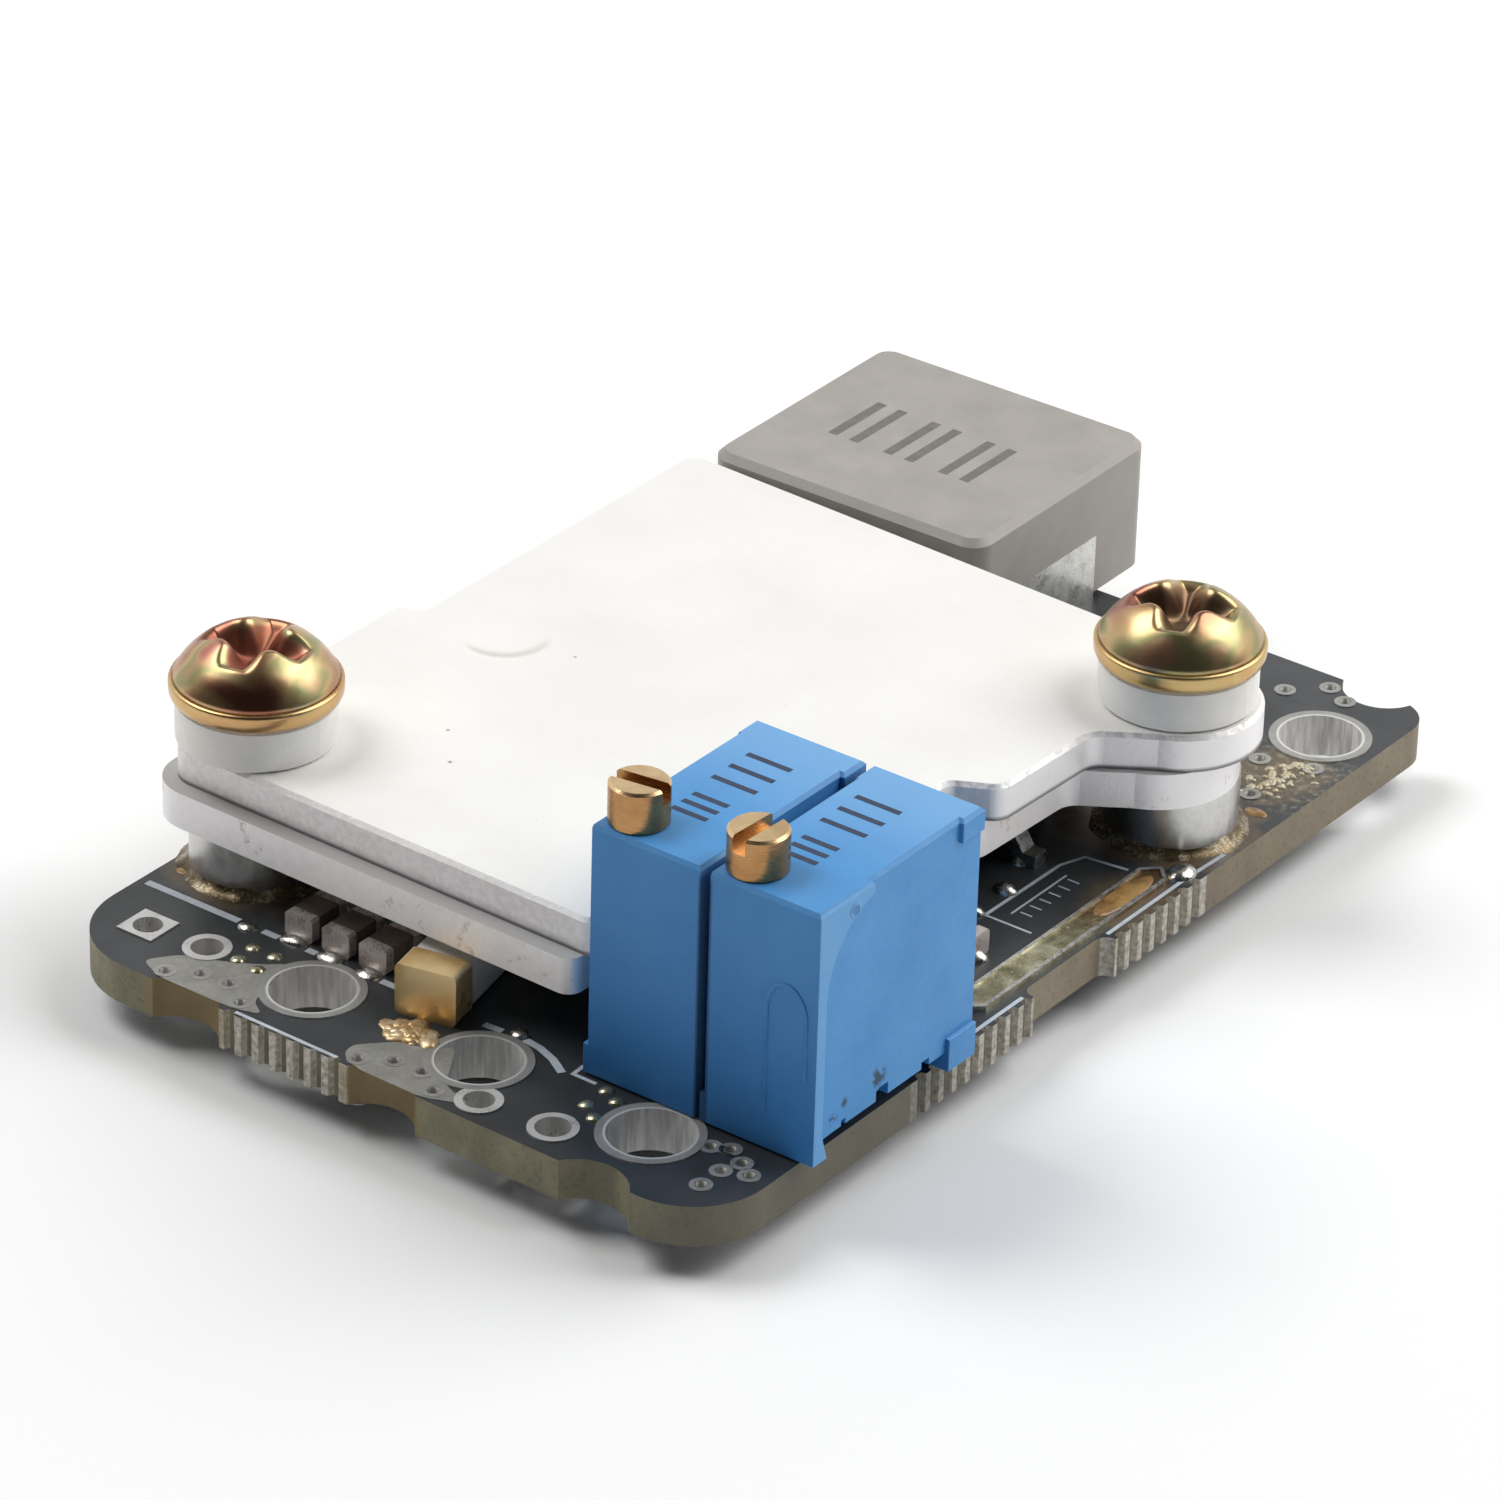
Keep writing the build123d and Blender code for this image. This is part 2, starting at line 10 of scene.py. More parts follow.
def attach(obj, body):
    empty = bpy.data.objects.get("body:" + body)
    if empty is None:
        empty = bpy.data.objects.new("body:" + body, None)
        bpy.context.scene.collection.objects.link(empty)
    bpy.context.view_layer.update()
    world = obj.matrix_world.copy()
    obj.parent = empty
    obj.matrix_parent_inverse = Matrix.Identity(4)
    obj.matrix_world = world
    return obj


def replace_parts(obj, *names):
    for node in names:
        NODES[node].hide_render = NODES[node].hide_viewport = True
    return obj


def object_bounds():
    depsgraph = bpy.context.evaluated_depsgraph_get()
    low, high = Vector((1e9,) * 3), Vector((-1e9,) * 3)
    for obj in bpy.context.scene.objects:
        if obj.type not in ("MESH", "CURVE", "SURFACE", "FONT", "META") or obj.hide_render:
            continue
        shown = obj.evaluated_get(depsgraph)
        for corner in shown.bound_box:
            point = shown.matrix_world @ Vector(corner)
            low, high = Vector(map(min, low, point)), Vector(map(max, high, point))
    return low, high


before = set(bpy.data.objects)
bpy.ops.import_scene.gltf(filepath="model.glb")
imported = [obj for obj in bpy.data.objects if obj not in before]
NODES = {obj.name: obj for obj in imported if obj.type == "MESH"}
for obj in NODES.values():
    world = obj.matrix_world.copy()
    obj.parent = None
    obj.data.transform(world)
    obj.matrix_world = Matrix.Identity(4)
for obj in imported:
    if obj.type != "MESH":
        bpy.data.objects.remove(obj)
CAD_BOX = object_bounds()

# One millimetre in metres: the sizes and places below are in millimetres
MM = 0.001
BOARD_TOP = 0.0
BOARD_BOTTOM = -1.6
FLUTE_PITCH = 0.8
SEAM_Z = 3.90
PLATE_TOP = 5.35
INDUCTOR_TOP = 5.62
TERMINALS = ((0.0, 0.0), (7.5, 0.0), (15.0, 0.0), (17.66, 37.90))

# Trimmer housings
TRIMMER_X = (10.775, 15.825)
TRIMMER_NEAR = 1.624
TRIMMER_WIDE = 4.86
TRIMMER_LONG = 9.53
TRIMMER_TOP = 10.03
TRIMMER_RIGHT = TRIMMER_X[1] + TRIMMER_WIDE
FEET_HIGH = 1.25
SET_BACK = 0.22
SOFT_EDGE = 0.07
PIN_STEP = 2.54
DIMPLE_Y = 3.6
DIMPLE_Z = 9.38

# Clamp screws: the place of each and the turn of its cross in degrees, then the heights of the head
CLAMPS = ((-7.19, 5.58, 14.0), (16.83, 29.02, 23.0))
THREAD_END = -0.95
THREAD_PITCH = 0.5
SHANK_R = 1.5
HEAD_Z = 7.05
RIM_Z = 7.79
DOME_TOP = 9.71
DOME_R = 3.05
DOME_CURVE = (DOME_R ** 2 + (DOME_TOP - RIM_Z) ** 2) / (2 * (DOME_TOP - RIM_Z))
DOME_CENTRE_Z = DOME_TOP - DOME_CURVE
RECESS_DEEP = 1.50

# The sockets of the Mix node that its colours use
MIX_AMOUNT = 0
MIX_UNDER = 6
MIX_OVER = 7
MIX_RESULT = 2


def rgb(red, green, blue):
    """A screen colour of 0 to 255 as the linear colour that a shader takes."""
    parts = [value / 255 for value in (red, green, blue)]
    lin = [part / 12.92 if part <= 0.04 else ((part + 0.055) / 1.055) ** 2.4 for part in parts]
    return (*lin, 1.0)


# Materials

class Nodes:
    """A node tree, with a short call for each kind of node that the looks and the sky use."""

    def __init__(self, tree):
        self.nodes = tree.nodes
        self.links = tree.links

    def put(self, socket, value):
        """Link an input to another node's output, or set it to a plain value."""
        if isinstance(value, bpy.types.NodeSocket):
            self.links.new(value, socket)
        else:
            socket.default_value = value

    def math(self, kind, first, second=0.0, clamp=False):
        node = self.nodes.new("ShaderNodeMath")
        node.operation = kind
        node.use_clamp = clamp
        self.put(node.inputs[0], first)
        self.put(node.inputs[1], second)
        return node.outputs[0]

    def plus(self, first, second):
        return self.math("ADD", first, second)

    def less(self, first, second, clamp=False):
        return self.math("SUBTRACT", first, second, clamp)

    def size(self, value):
        return self.math("ABSOLUTE", value)

    def times(self, first, *others):
        for other in others:
            first = self.math("MULTIPLY", first, other)
        return first

    def most(self, first, *others):
        for other in others:
            first = self.math("MAXIMUM", first, other)
        return first

    def measure(self, kind, vector, fixed):
        """The distance or the dot product of a vector and a fixed one."""
        node = self.nodes.new("ShaderNodeVectorMath")
        node.operation = kind
        self.links.new(vector, node.inputs[0])
        node.inputs[1].default_value = fixed
        return node.outputs["Value"]

    def part(self, name, vector):
        """The X, Y or Z part of a vector."""
        node = self.nodes.new("ShaderNodeSeparateXYZ")
        self.links.new(vector, node.inputs[0])
        return node.outputs["XYZ".index(name)]

    def fade(self, value, low, high, to_low=0.0, to_high=1.0):
        """A smooth step: to_low at low and past it, and to_high at high and past it."""
        node = self.nodes.new("ShaderNodeMapRange")
        node.interpolation_type = "SMOOTHSTEP"
        self.put(node.inputs["Value"], value)
        for name, number in (("From Min", low), ("From Max", high), ("To Min", to_low), ("To Max", to_high)):
            node.inputs[name].default_value = number
        return node.outputs[0]


class Look(Nodes):
    """A procedural material whose patterns are laid out in millimetres of the object."""

    def __init__(self, name, metal=0.0, rough=0.5, specular=0.5):
        self.mat = bpy.data.materials.new(name)
        self.mat.use_nodes = True
        super().__init__(self.mat.node_tree)
        self.shader = self.nodes["Principled BSDF"]
        self.shader.inputs["Metallic"].default_value = metal
        self.shader.inputs["Roughness"].default_value = rough
        self.shader.inputs["Specular IOR Level"].default_value = specular
        coord = self.nodes.new("ShaderNodeTexCoord")
        self.normal = coord.outputs["Normal"]
        scale = self.nodes.new("ShaderNodeVectorMath")
        scale.operation = "SCALE"
        scale.inputs["Scale"].default_value = 1 / MM
        self.links.new(coord.outputs["Object"], scale.inputs[0])
        self.place = scale.outputs[0]

    def axis(self, name):
        """The X, Y or Z of the place, in mm."""
        return self.part(name, self.place)

    def off(self, name, at):
        """How far the place is from a level of X, Y or Z, in mm."""
        return self.size(self.less(self.axis(name), at))

    def facing(self, name):
        """How much the surface faces along X, Y or Z, from -1 to 1."""
        return self.part(name, self.normal)

    def level(self):
        """1 on a surface that lies flat and 0 on an upright one."""
        return self.size(self.facing("Z"))

    def over(self, kind, vector, **numbers):
        """A mapping or texture node over a vector, with its plain numbers."""
        node = self.nodes.new("ShaderNode" + kind)
        self.links.new(vector, node.inputs["Vector"])
        for name, number in numbers.items():
            node.inputs[name].default_value = number
        return node.outputs

    def stretch(self, scales, turn=0.0):
        """The place with its axes scaled, and turned about Z by some degrees."""
        return self.over("Mapping", self.place, Scale=scales, Rotation=(0, 0, math.radians(turn)))[0]

    def noise(self, per_mm, detail=4.0, rough=0.55, vector=None, warp=0.0):
        numbers = {"Scale": per_mm, "Detail": detail, "Roughness": rough, "Distortion": warp}
        return self.over("TexNoise", vector or self.place, **numbers)["Fac"]

    def cells(self, per_mm):
        return self.over("TexVoronoi", self.place, Scale=per_mm)["Distance"]

    def ramp(self, value, *stops):
        """Colours along a value: the first and the last stop, and then those between them."""
        node = self.nodes.new("ShaderNodeValToRGB")
        self.links.new(value, node.inputs[0])
        ends = node.color_ramp.elements
        for index, (at, colour) in enumerate(stops):
            stop = ends[index] if index < 2 else ends.new(at)
            stop.position = at
            stop.color = colour
        return node.outputs[0]

    def mix(self, amount, under, over):
        """One colour over another, by an amount from 0 to 1."""
        node = self.nodes.new("ShaderNodeMix")
        node.data_type = "RGBA"
        self.put(node.inputs[MIX_AMOUNT], amount)
        self.put(node.inputs[MIX_UNDER], under)
        self.put(node.inputs[MIX_OVER], over)
        return node.outputs[MIX_RESULT]

    def near(self, centre, radius, soft, wobble=None):
        """1 within the radius of a point in mm, 0 outside it, with an edge that may follow a noise."""
        gap = self.measure("DISTANCE", self.place, centre)
        if wobble is not None:
            gap = self.plus(gap, self.times(self.less(wobble, 0.5), radius))
        return self.fade(gap, radius - soft, radius + soft, 1.0, 0.0)

    def flat_gap(self, x, y):
        """The distance in mm from an upright line, seen from above."""
        return self.measure("DISTANCE", self.stretch((1.0, 1.0, 0.0)), (x, y, 0.0))

    def flutes(self, along, first, count, across, at):
        """1 on the ridges between the grooves of a fluted run, which lies past a level of the other axis."""
        where = self.less(self.axis(along), first)
        wave = self.math("COSINE", self.times(where, 2 * math.pi / FLUTE_PITCH))
        length = FLUTE_PITCH * count
        start = self.fade(where, -0.75, -0.65)
        end = self.fade(where, length - 0.15, length - 0.05, 1.0, 0.0)
        outside = self.fade(self.axis(across), at - 0.05, at + 0.05, *((0.0, 1.0) if at > 0 else (1.0, 0.0)))
        return self.times(self.fade(wave, 0.75, 0.2), outside, start, end)

    def bump(self, height, depth_mm):
        node = self.nodes.new("ShaderNodeBump")
        node.inputs["Distance"].default_value = depth_mm * MM
        self.links.new(height, node.inputs["Height"])
        self.links.new(node.outputs[0], self.shader.inputs["Normal"])

    def colour(self, socket):
        self.put(self.shader.inputs["Base Color"], socket)

    def metal(self, socket):
        self.put(self.shader.inputs["Metallic"], socket)

    def rough(self, socket):
        self.put(self.shader.inputs["Roughness"], socket)


def metal_look(name, dark, middle, light, grain, rough, depth, metal=1.0, stretch=None):
    """Worked metal: a cloudy colour, a finer grain, and a gloss that varies with it."""
    look = Look(name, metal=metal)
    fine = look.noise(grain * 7, 3, vector=look.stretch(stretch) if stretch else None)
    both = look.plus(look.times(look.noise(grain, 5), 0.6), look.times(fine, 0.4))
    look.colour(look.ramp(both, (0.30, rgb(*dark)), (0.70, rgb(*light)), (0.5, rgb(*middle))))
    look.rough(look.fade(both, 0.3, 0.7, *rough))
    look.bump(both, depth)
    return look


def plastic_look(name, dark, light, grain, rough, depth):
    """Plastic, ink or ceramic: a faint cloud with a finer grain in its colour, gloss and surface."""
    look = Look(name, specular=0.4)
    both = look.plus(look.times(look.noise(grain, 4), 0.7), look.times(look.noise(grain * 9, 2), 0.3))
    look.colour(look.ramp(both, (0.32, rgb(*dark)), (0.68, rgb(*light))))
    look.rough(look.fade(both, 0.3, 0.7, *rough))
    look.bump(both, depth)
    return look


# Brown stains on the board: place, radius and strength
BOARD_STAINS = (
    ((19.2, 23.4, 0), 1.9, 0.5),
    ((16.8, 29.0, 0), 3.5, 0.55),
    ((-7.2, 5.6, 0), 3.3, 0.45),
    ((18.0, 34.6, 0), 1.9, 0.5),
)
BOARD_DUST = (18.2, 34.6, 0)
NOTCH_X = (-3.35, 5.65)

# Fluted runs of the edge: the axis along the run, its first groove, its grooves, and the level it lies past
FLUTED_RUNS = (("X", -1.3, 7, "Y", -1.8), ("Y", 8.9, 9, "X", 19.4), ("Y", 21.2, 7, "X", 19.4))


def board_mask(look, weave):
    """Black solder mask with brown stains, and dust near the far hole."""
    mask = look.ramp(look.noise(0.35, 5), (0.3, rgb(46, 50, 52)), (0.7, rgb(66, 69, 71)))
    mask = look.mix(look.fade(weave, 0.55, 0.8, 0, 0.3), mask, rgb(74, 76, 76))
    stain = look.noise(0.9, 4, warp=0.6)
    for spot, size, much in BOARD_STAINS:
        mask = look.mix(look.times(look.near(spot, size, 0.6, stain), much), mask, rgb(124, 104, 74))
    dust = look.times(look.near(BOARD_DUST, 2.6, 1.0, stain), look.fade(weave, 0.45, 0.7, 0, 0.6))
    return look.mix(dust, mask, rgb(160, 152, 126))


def board_edge(look, grit):
    """Sawn laminate with pale flutes, amber in the notches, and painted shade below the trimmers."""
    haze = look.noise(0.5, 4, vector=look.stretch((1, 1, 0.5)))
    edge = look.ramp(haze, (0.3, rgb(100, 97, 76)), (0.72, rgb(146, 139, 112)), (0.5, rgb(122, 117, 92)))
    edge = look.mix(look.fade(look.axis("X"), 17.5, 19.5, 0, 0.55), edge, rgb(142, 126, 108))
    edge = look.mix(look.fade(grit, 0.5, 0.75, 0, 0.4), edge, rgb(66, 62, 44))
    fluted = look.most(*[look.flutes(*run) for run in FLUTED_RUNS])
    edge = look.mix(fluted, edge, look.ramp(grit, (0.34, rgb(150, 142, 127)), (0.66, rgb(206, 201, 189))))
    for x in NOTCH_X:
        amber = look.times(look.near((x, -3.0, BOARD_BOTTOM / 2), 1.9, 0.5, haze), 0.6)
        edge = look.mix(amber, edge, rgb(138, 112, 58))
    # Painted shade: the edge under the trimmers, near the right end, is darkened
    shade = look.times(look.fade(look.axis("X"), 16.5, 18.5), look.fade(look.axis("Y"), 8.5, 12.5, 0.6, 0.0))
    return look.mix(shade, edge, rgb(78, 82, 70))


def board_look():
    """Black solder mask above and below, and the sawn and fluted laminate round the edge."""
    look = Look("board")
    weave = look.noise(3.2, 3)
    grit = look.noise(5.0, 3)
    flat = look.fade(look.level(), 0.35, 0.6)
    look.colour(look.mix(flat, board_edge(look, grit), board_mask(look, weave)))
    look.rough(look.fade(flat, 0, 1, 0.55, 0.32))
    look.bump(look.plus(look.times(weave, 0.5), look.times(grit, 0.3)), 0.012)
    return look


# A shallow half-moon pressed into the upper plate, between two circles, and dark specks with their radius
DENT_OUTER = (-4.9, 17.0, PLATE_TOP)
DENT_INNER = (-5.02, 17.12, PLATE_TOP)
PLATE_SPECKS = (
    ((-0.57, 8.39, PLATE_TOP), 0.07),
    ((-2.08, 10.16, PLATE_TOP), 0.06),
    ((-1.89, 17.35, PLATE_TOP), 0.05),
)


def spreader_side(look, speck):
    """Sheared edges: lighter on the lower plate, painted light on the sides that face +X, brown stains on the
    lower plate, and painted shade along the seam between the two.
    """
    z = look.axis("Z")
    low = look.fade(z, SEAM_Z - 0.02, SEAM_Z + 0.02, 1.0, 0.25)
    # Lighter on the lower plate's sides, and painted light on the sides that face +X
    lower_and_lit_sides = look.most(look.fade(low, 0.3, 0.9, 0.0, 0.6), look.fade(look.facing("X"), 0.3, 0.7, 0.0, 0.9))
    side = look.mix(look.fade(speck, 0.4, 0.6), rgb(220, 217, 217), rgb(232, 229, 229))
    side = look.mix(lower_and_lit_sides, side, rgb(251, 249, 249))
    rust = look.fade(look.noise(1.1, 5, 0.72), 0.60, 0.72, 0, 0.6)
    side = look.mix(look.times(rust, low), side, rgb(178, 154, 136))
    # Painted shade at the bottom of the upper plate's edge, along the seam
    above = look.fade(z, SEAM_Z - 0.01, SEAM_Z + 0.01)
    seam_shade = look.times(above, look.fade(z, SEAM_Z + 0.05, SEAM_Z + 0.22, 0.8, 0.0))
    return look.mix(seam_shade, side, rgb(92, 90, 92))


def spreader_top(look, tooth, dent):
    """Nearly white faces with small pits, painted shade on the ledge where the plates are out of line, and
    painted shade in the dent.
    """
    top = look.ramp(look.noise(0.16, 4), (0.3, rgb(239, 237, 233)), (0.7, rgb(246, 245, 241)))
    top = look.mix(look.fade(look.cells(0.35), 0.012, 0.022, 0.6, 0), top, rgb(190, 184, 174))
    # Painted shade on the ledge of the lower plate
    top = look.mix(look.fade(look.off("Z", SEAM_Z), 0.05, 0.10, 0.6, 0.0), top, rgb(158, 155, 155))
    # Painted shade in the dent, which its bump also shapes
    top = look.mix(look.times(dent, 0.75), top, rgb(204, 198, 190))
    for spot, size in PLATE_SPECKS:
        top = look.mix(look.near(spot, size, 0.05, tooth), top, rgb(150, 134, 120))
    return top


def spreader_look():
    """Blasted plate with a fine tooth, and a burr where its faces meet its sheared edge."""
    look = Look("spreader", specular=0.3)
    tooth = look.noise(7.0, 3, 0.6)
    speck = look.noise(3.6, 4, 0.6)
    brushed = look.noise(1.6, 4, 0.6, vector=look.stretch((0.35, 5.0, 1.0), 28))
    dent = look.less(look.near(DENT_OUTER, 1.70, 0.16), look.near(DENT_INNER, 1.62, 0.30), clamp=True)
    dent = look.times(dent, look.fade(look.less(look.axis("X"), look.axis("Y")), -21.6, -20.2))
    burr = look.times(look.less(look.noise(4.5, 4, 0.7), 0.5), 1.1)
    top_tone = look.times(look.fade(look.plus(look.level(), burr), 0.62, 0.82), look.fade(look.level(), 0.3, 0.5))
    flat = look.most(top_tone, look.fade(look.level(), 0.85, 0.95))
    look.colour(look.mix(flat, spreader_side(look, speck), spreader_top(look, tooth, dent)))
    look.metal(look.fade(flat, 0.0, 1.0, 0.45, 0.1))
    look.rough(look.plus(look.fade(speck, 0.3, 0.7, 0.36, 0.5), look.times(flat, 0.15)))
    high = look.plus(look.times(tooth, 0.5), look.times(look.plus(speck, brushed), 0.4))
    look.bump(look.less(high, look.times(dent, 6.0)), 0.014)
    return look


def zinc_look():
    """Yellow chromate over zinc: gold with pink, green and brown drifts, and red-brown in the recess."""
    look = Look("yellow_zinc", metal=1.0)
    drift = look.noise(0.30, 1, vector=look.stretch((1, 1, 1.8)), warp=0.45)
    tint = look.ramp(
        drift, (0.34, rgb(154, 100, 82)), (0.72, rgb(168, 112, 98)),
        (0.43, rgb(182, 138, 106)), (0.51, rgb(196, 170, 124)),
        (0.57, rgb(156, 152, 108)), (0.64, rgb(188, 150, 118)),
    )
    band = look.fade(look.axis("Z"), RIM_Z - 0.04, RIM_Z + 0.10, 0.65, 0.0)
    tint = look.mix(band, tint, rgb(212, 178, 120))
    tint = look.mix(look.fade(look.noise(4.5, 4), 0.62, 0.8, 0, 0.25), tint, rgb(138, 108, 84))
    gaps = [look.measure("DISTANCE", look.place, (x, y, DOME_CENTRE_Z)) for x, y, _ in CLAMPS]
    below = look.most(*[look.fade(gap, DOME_CURVE - 0.42, DOME_CURVE - 0.10, 1.0, 0.0) for gap in gaps])
    deep = look.times(below, look.fade(look.axis("Z"), RIM_Z - 0.02, RIM_Z + 0.02))
    far = look.fade(look.axis("Y"), 15.0, 16.0)
    recess = look.mix(far, rgb(142, 84, 68), rgb(112, 90, 70))
    look.colour(look.mix(look.times(deep, 0.9), tint, recess))
    look.rough(look.plus(look.fade(drift, 0.3, 0.7, 0.26, 0.34), look.times(deep, 0.12)))
    look.bump(look.noise(0.8, 2), 0.02)
    return look


def brass_look():
    """Turned brass with painted shade on its sides and painted light on its tops."""
    look = Look("brass", metal=1.0)
    grain = look.noise(4.0, 3, vector=look.stretch((0.4, 0.4, 3.0)))
    cloud = look.noise(0.9, 3)
    tint = look.ramp(cloud, (0.3, rgb(164, 120, 78)), (0.7, rgb(186, 142, 96)))
    tint = look.mix(look.fade(grain, 0.58, 0.8, 0, 0.35), tint, rgb(128, 92, 60))
    # Painted light: the tops are lighter than the sides
    top_tone = look.ramp(cloud, (0.35, rgb(214, 180, 132)), (0.65, rgb(240, 210, 164)))
    look.colour(look.mix(look.fade(look.level(), 0.5, 0.8), tint, top_tone))
    look.rough(look.fade(grain, 0.3, 0.7, 0.24, 0.36))
    look.bump(grain, 0.006)
    return look


# Scuffs on the right housing, with their radius, and the middle of the cleft between the two, where shade is
# painted
SCUFFS = (((20.5, 5.6, 1.8), 0.38), ((20.5, 2.96, 1.35), 0.22), ((20.5, 3.6, 1.7), 0.16))
CLEFT_X = 15.85


def trimmer_look():
    """Blue moulded plastic with a faint cloud, a small dimple and scuffs low on the right side, with painted
    shade on the near faces, in the cleft and in the dimple, and painted highlights on the tops and the ribs.
    """
    look = Look("trimmer", specular=0.3)
    cloud = look.noise(0.35, 4)
    fine = look.noise(3.2, 2)
    tint = look.ramp(cloud, (0.32, rgb(73, 144, 206)), (0.68, rgb(84, 154, 215)))
    # Painted shade on the near faces, darker towards the bottom
    front_shade = look.fade(look.facing("Y"), -0.9, -0.5, 1.0, 0.0)
    front_shade = look.times(front_shade, look.fade(look.axis("Z"), 1.0, 9.5, 0.62, 0.30))
    tint = look.mix(front_shade, tint, rgb(30, 100, 170))
    # Painted sheen on the far part of the tops
    lid_sheen = look.times(look.fade(look.facing("Z"), 0.6, 0.9), look.fade(look.axis("Y"), 4.0, 11.0, 0.0, 0.45))
    tint = look.mix(lid_sheen, tint, rgb(150, 198, 240))
    across = look.times(look.fade(look.facing("X"), 0.5, 0.8), look.fade(look.axis("Y"), 4.4, 7.0, 1.0, 0.0))
    # Painted highlight on the right faces' ribs near the front
    for x in TRIMMER_X:
        rib_highlight = look.fade(look.off("X", x + TRIMMER_WIDE), 0.06, 0.12, 0.4, 0.0)
        tint = look.mix(look.times(rib_highlight, across), tint, rgb(132, 186, 232))
    # Painted shade in the cleft between the two housings
    cleft_shade = look.fade(look.off("X", CLEFT_X), 0.24, 0.34, 0.75, 0.0)
    cleft_shade = look.times(cleft_shade, look.fade(look.axis("Z"), 9.5, 9.95, 1.0, 0.0))
    tint = look.mix(cleft_shade, tint, rgb(34, 62, 104))
    # Painted shade in the dimple
    dimple_shade = look.near((TRIMMER_RIGHT, DIMPLE_Y, DIMPLE_Z), 0.20, 0.08)
    tint = look.mix(look.times(dimple_shade, 0.6), tint, rgb(58, 104, 158))
    scratch = look.noise(1.5, 4, vector=look.stretch((1.0, 4.0, 1.6)))
    for spot, size in SCUFFS:
        scuff = look.times(look.near(spot, size, 0.12, scratch), look.fade(fine, 0.4, 0.55))
        tint = look.mix(scuff, tint, rgb(52, 78, 104))
    look.colour(tint)
    look.rough(look.fade(fine, 0.3, 0.7, 0.36, 0.5))
    look.bump(look.plus(look.times(cloud, 0.7), look.times(fine, 0.3)), 0.006)
    return look


def ring_look():
    """Plated hole: a dull land, a bright lip and a bright bore with upright streaks, the bore's colour partly
    painted reflection.
    """
    look = Look("plated_ring", metal=0.25)
    streak = look.noise(4.0, 4, 0.6, vector=look.stretch((1.0, 1.0, 0.12)))
    land = look.ramp(look.noise(0.9, 4), (0.3, rgb(148, 148, 144)), (0.7, rgb(172, 171, 167)))
    # The bore is tinned metal, and its colour is also painted brighter to stand in for the bright floor it
    # reflects
    bore = look.ramp(streak, (0.36, rgb(206, 204, 200)), (0.62, rgb(248, 247, 245)))
    for x, y in TERMINALS:
        lip = look.less(1.0, look.fade(look.flat_gap(x, y), 1.62, 1.70))
        land = look.mix(lip, land, rgb(226, 225, 222))
    look.colour(look.mix(look.fade(look.level(), 0.4, 0.7), bore, land))
    look.rough(look.fade(streak, 0.3, 0.7, 0.30, 0.44))
    look.bump(streak, 0.005)
    return look


# The ways that the faces of the fuse caps point
CAP_WAYS = ((0.978, 0.208, 0.0), (-0.208, 0.978, 0.0), (0.0, 0.0, 1.0))


def gold_look():
    """Fuse caps: brassy plating with painted highlights on the rounded edges."""
    look = Look("gold", metal=0.6)
    cloud = look.noise(0.45, 2)
    tint = look.ramp(cloud, (0.34, rgb(222, 182, 120)), (0.66, rgb(252, 224, 168)))
    most = look.most(*[look.size(look.measure("DOT_PRODUCT", look.normal, way)) for way in CAP_WAYS])
    # Painted highlight: lighter where the surface turns between the caps' faces
    look.colour(look.mix(look.fade(most, 0.84, 0.97, 0.8, 0.0), tint, rgb(250, 236, 204)))
    look.rough(look.fade(cloud, 0.3, 0.7, 0.24, 0.34))
    look.bump(cloud, 0.02)
    return look


def strip_look():
    """Tinned bar: bright rims, and flux over speckled solder in the dish between them."""
    look = Look("strip", metal=0.8)
    cloud = look.noise(0.9, 4)
    speck = look.noise(3.4, 4, 0.65)
    rim = look.ramp(speck, (0.3, rgb(178, 176, 170)), (0.7, rgb(226, 225, 220)))
    dish = look.ramp(cloud, (0.34, rgb(126, 122, 94)), (0.62, rgb(204, 199, 170)), (0.48, rgb(164, 158, 126)))
    dish = look.mix(look.times(look.fade(look.axis("Y"), 19.6, 22.5), 0.75), dish, rgb(138, 102, 62))
    dish = look.mix(look.fade(speck, 0.58, 0.70, 0, 0.8), dish, rgb(226, 222, 204))
    look.colour(look.mix(look.fade(look.axis("Z"), 0.15, 0.18), dish, rim))
    look.rough(look.fade(speck, 0.3, 0.7, 0.2, 0.45))
    look.bump(look.plus(cloud, speck), 0.03)
    return look


def flux_look():
    """Dried flux resin: thin, glassy and brown."""
    look = Look("flux", rough=0.2, specular=0.6)
    look.colour(look.ramp(look.noise(1.4, 4), (0.3, rgb(120, 84, 44)), (0.7, rgb(190, 150, 92))))
    look.bump(look.noise(2.2, 4), 0.05)
    return look


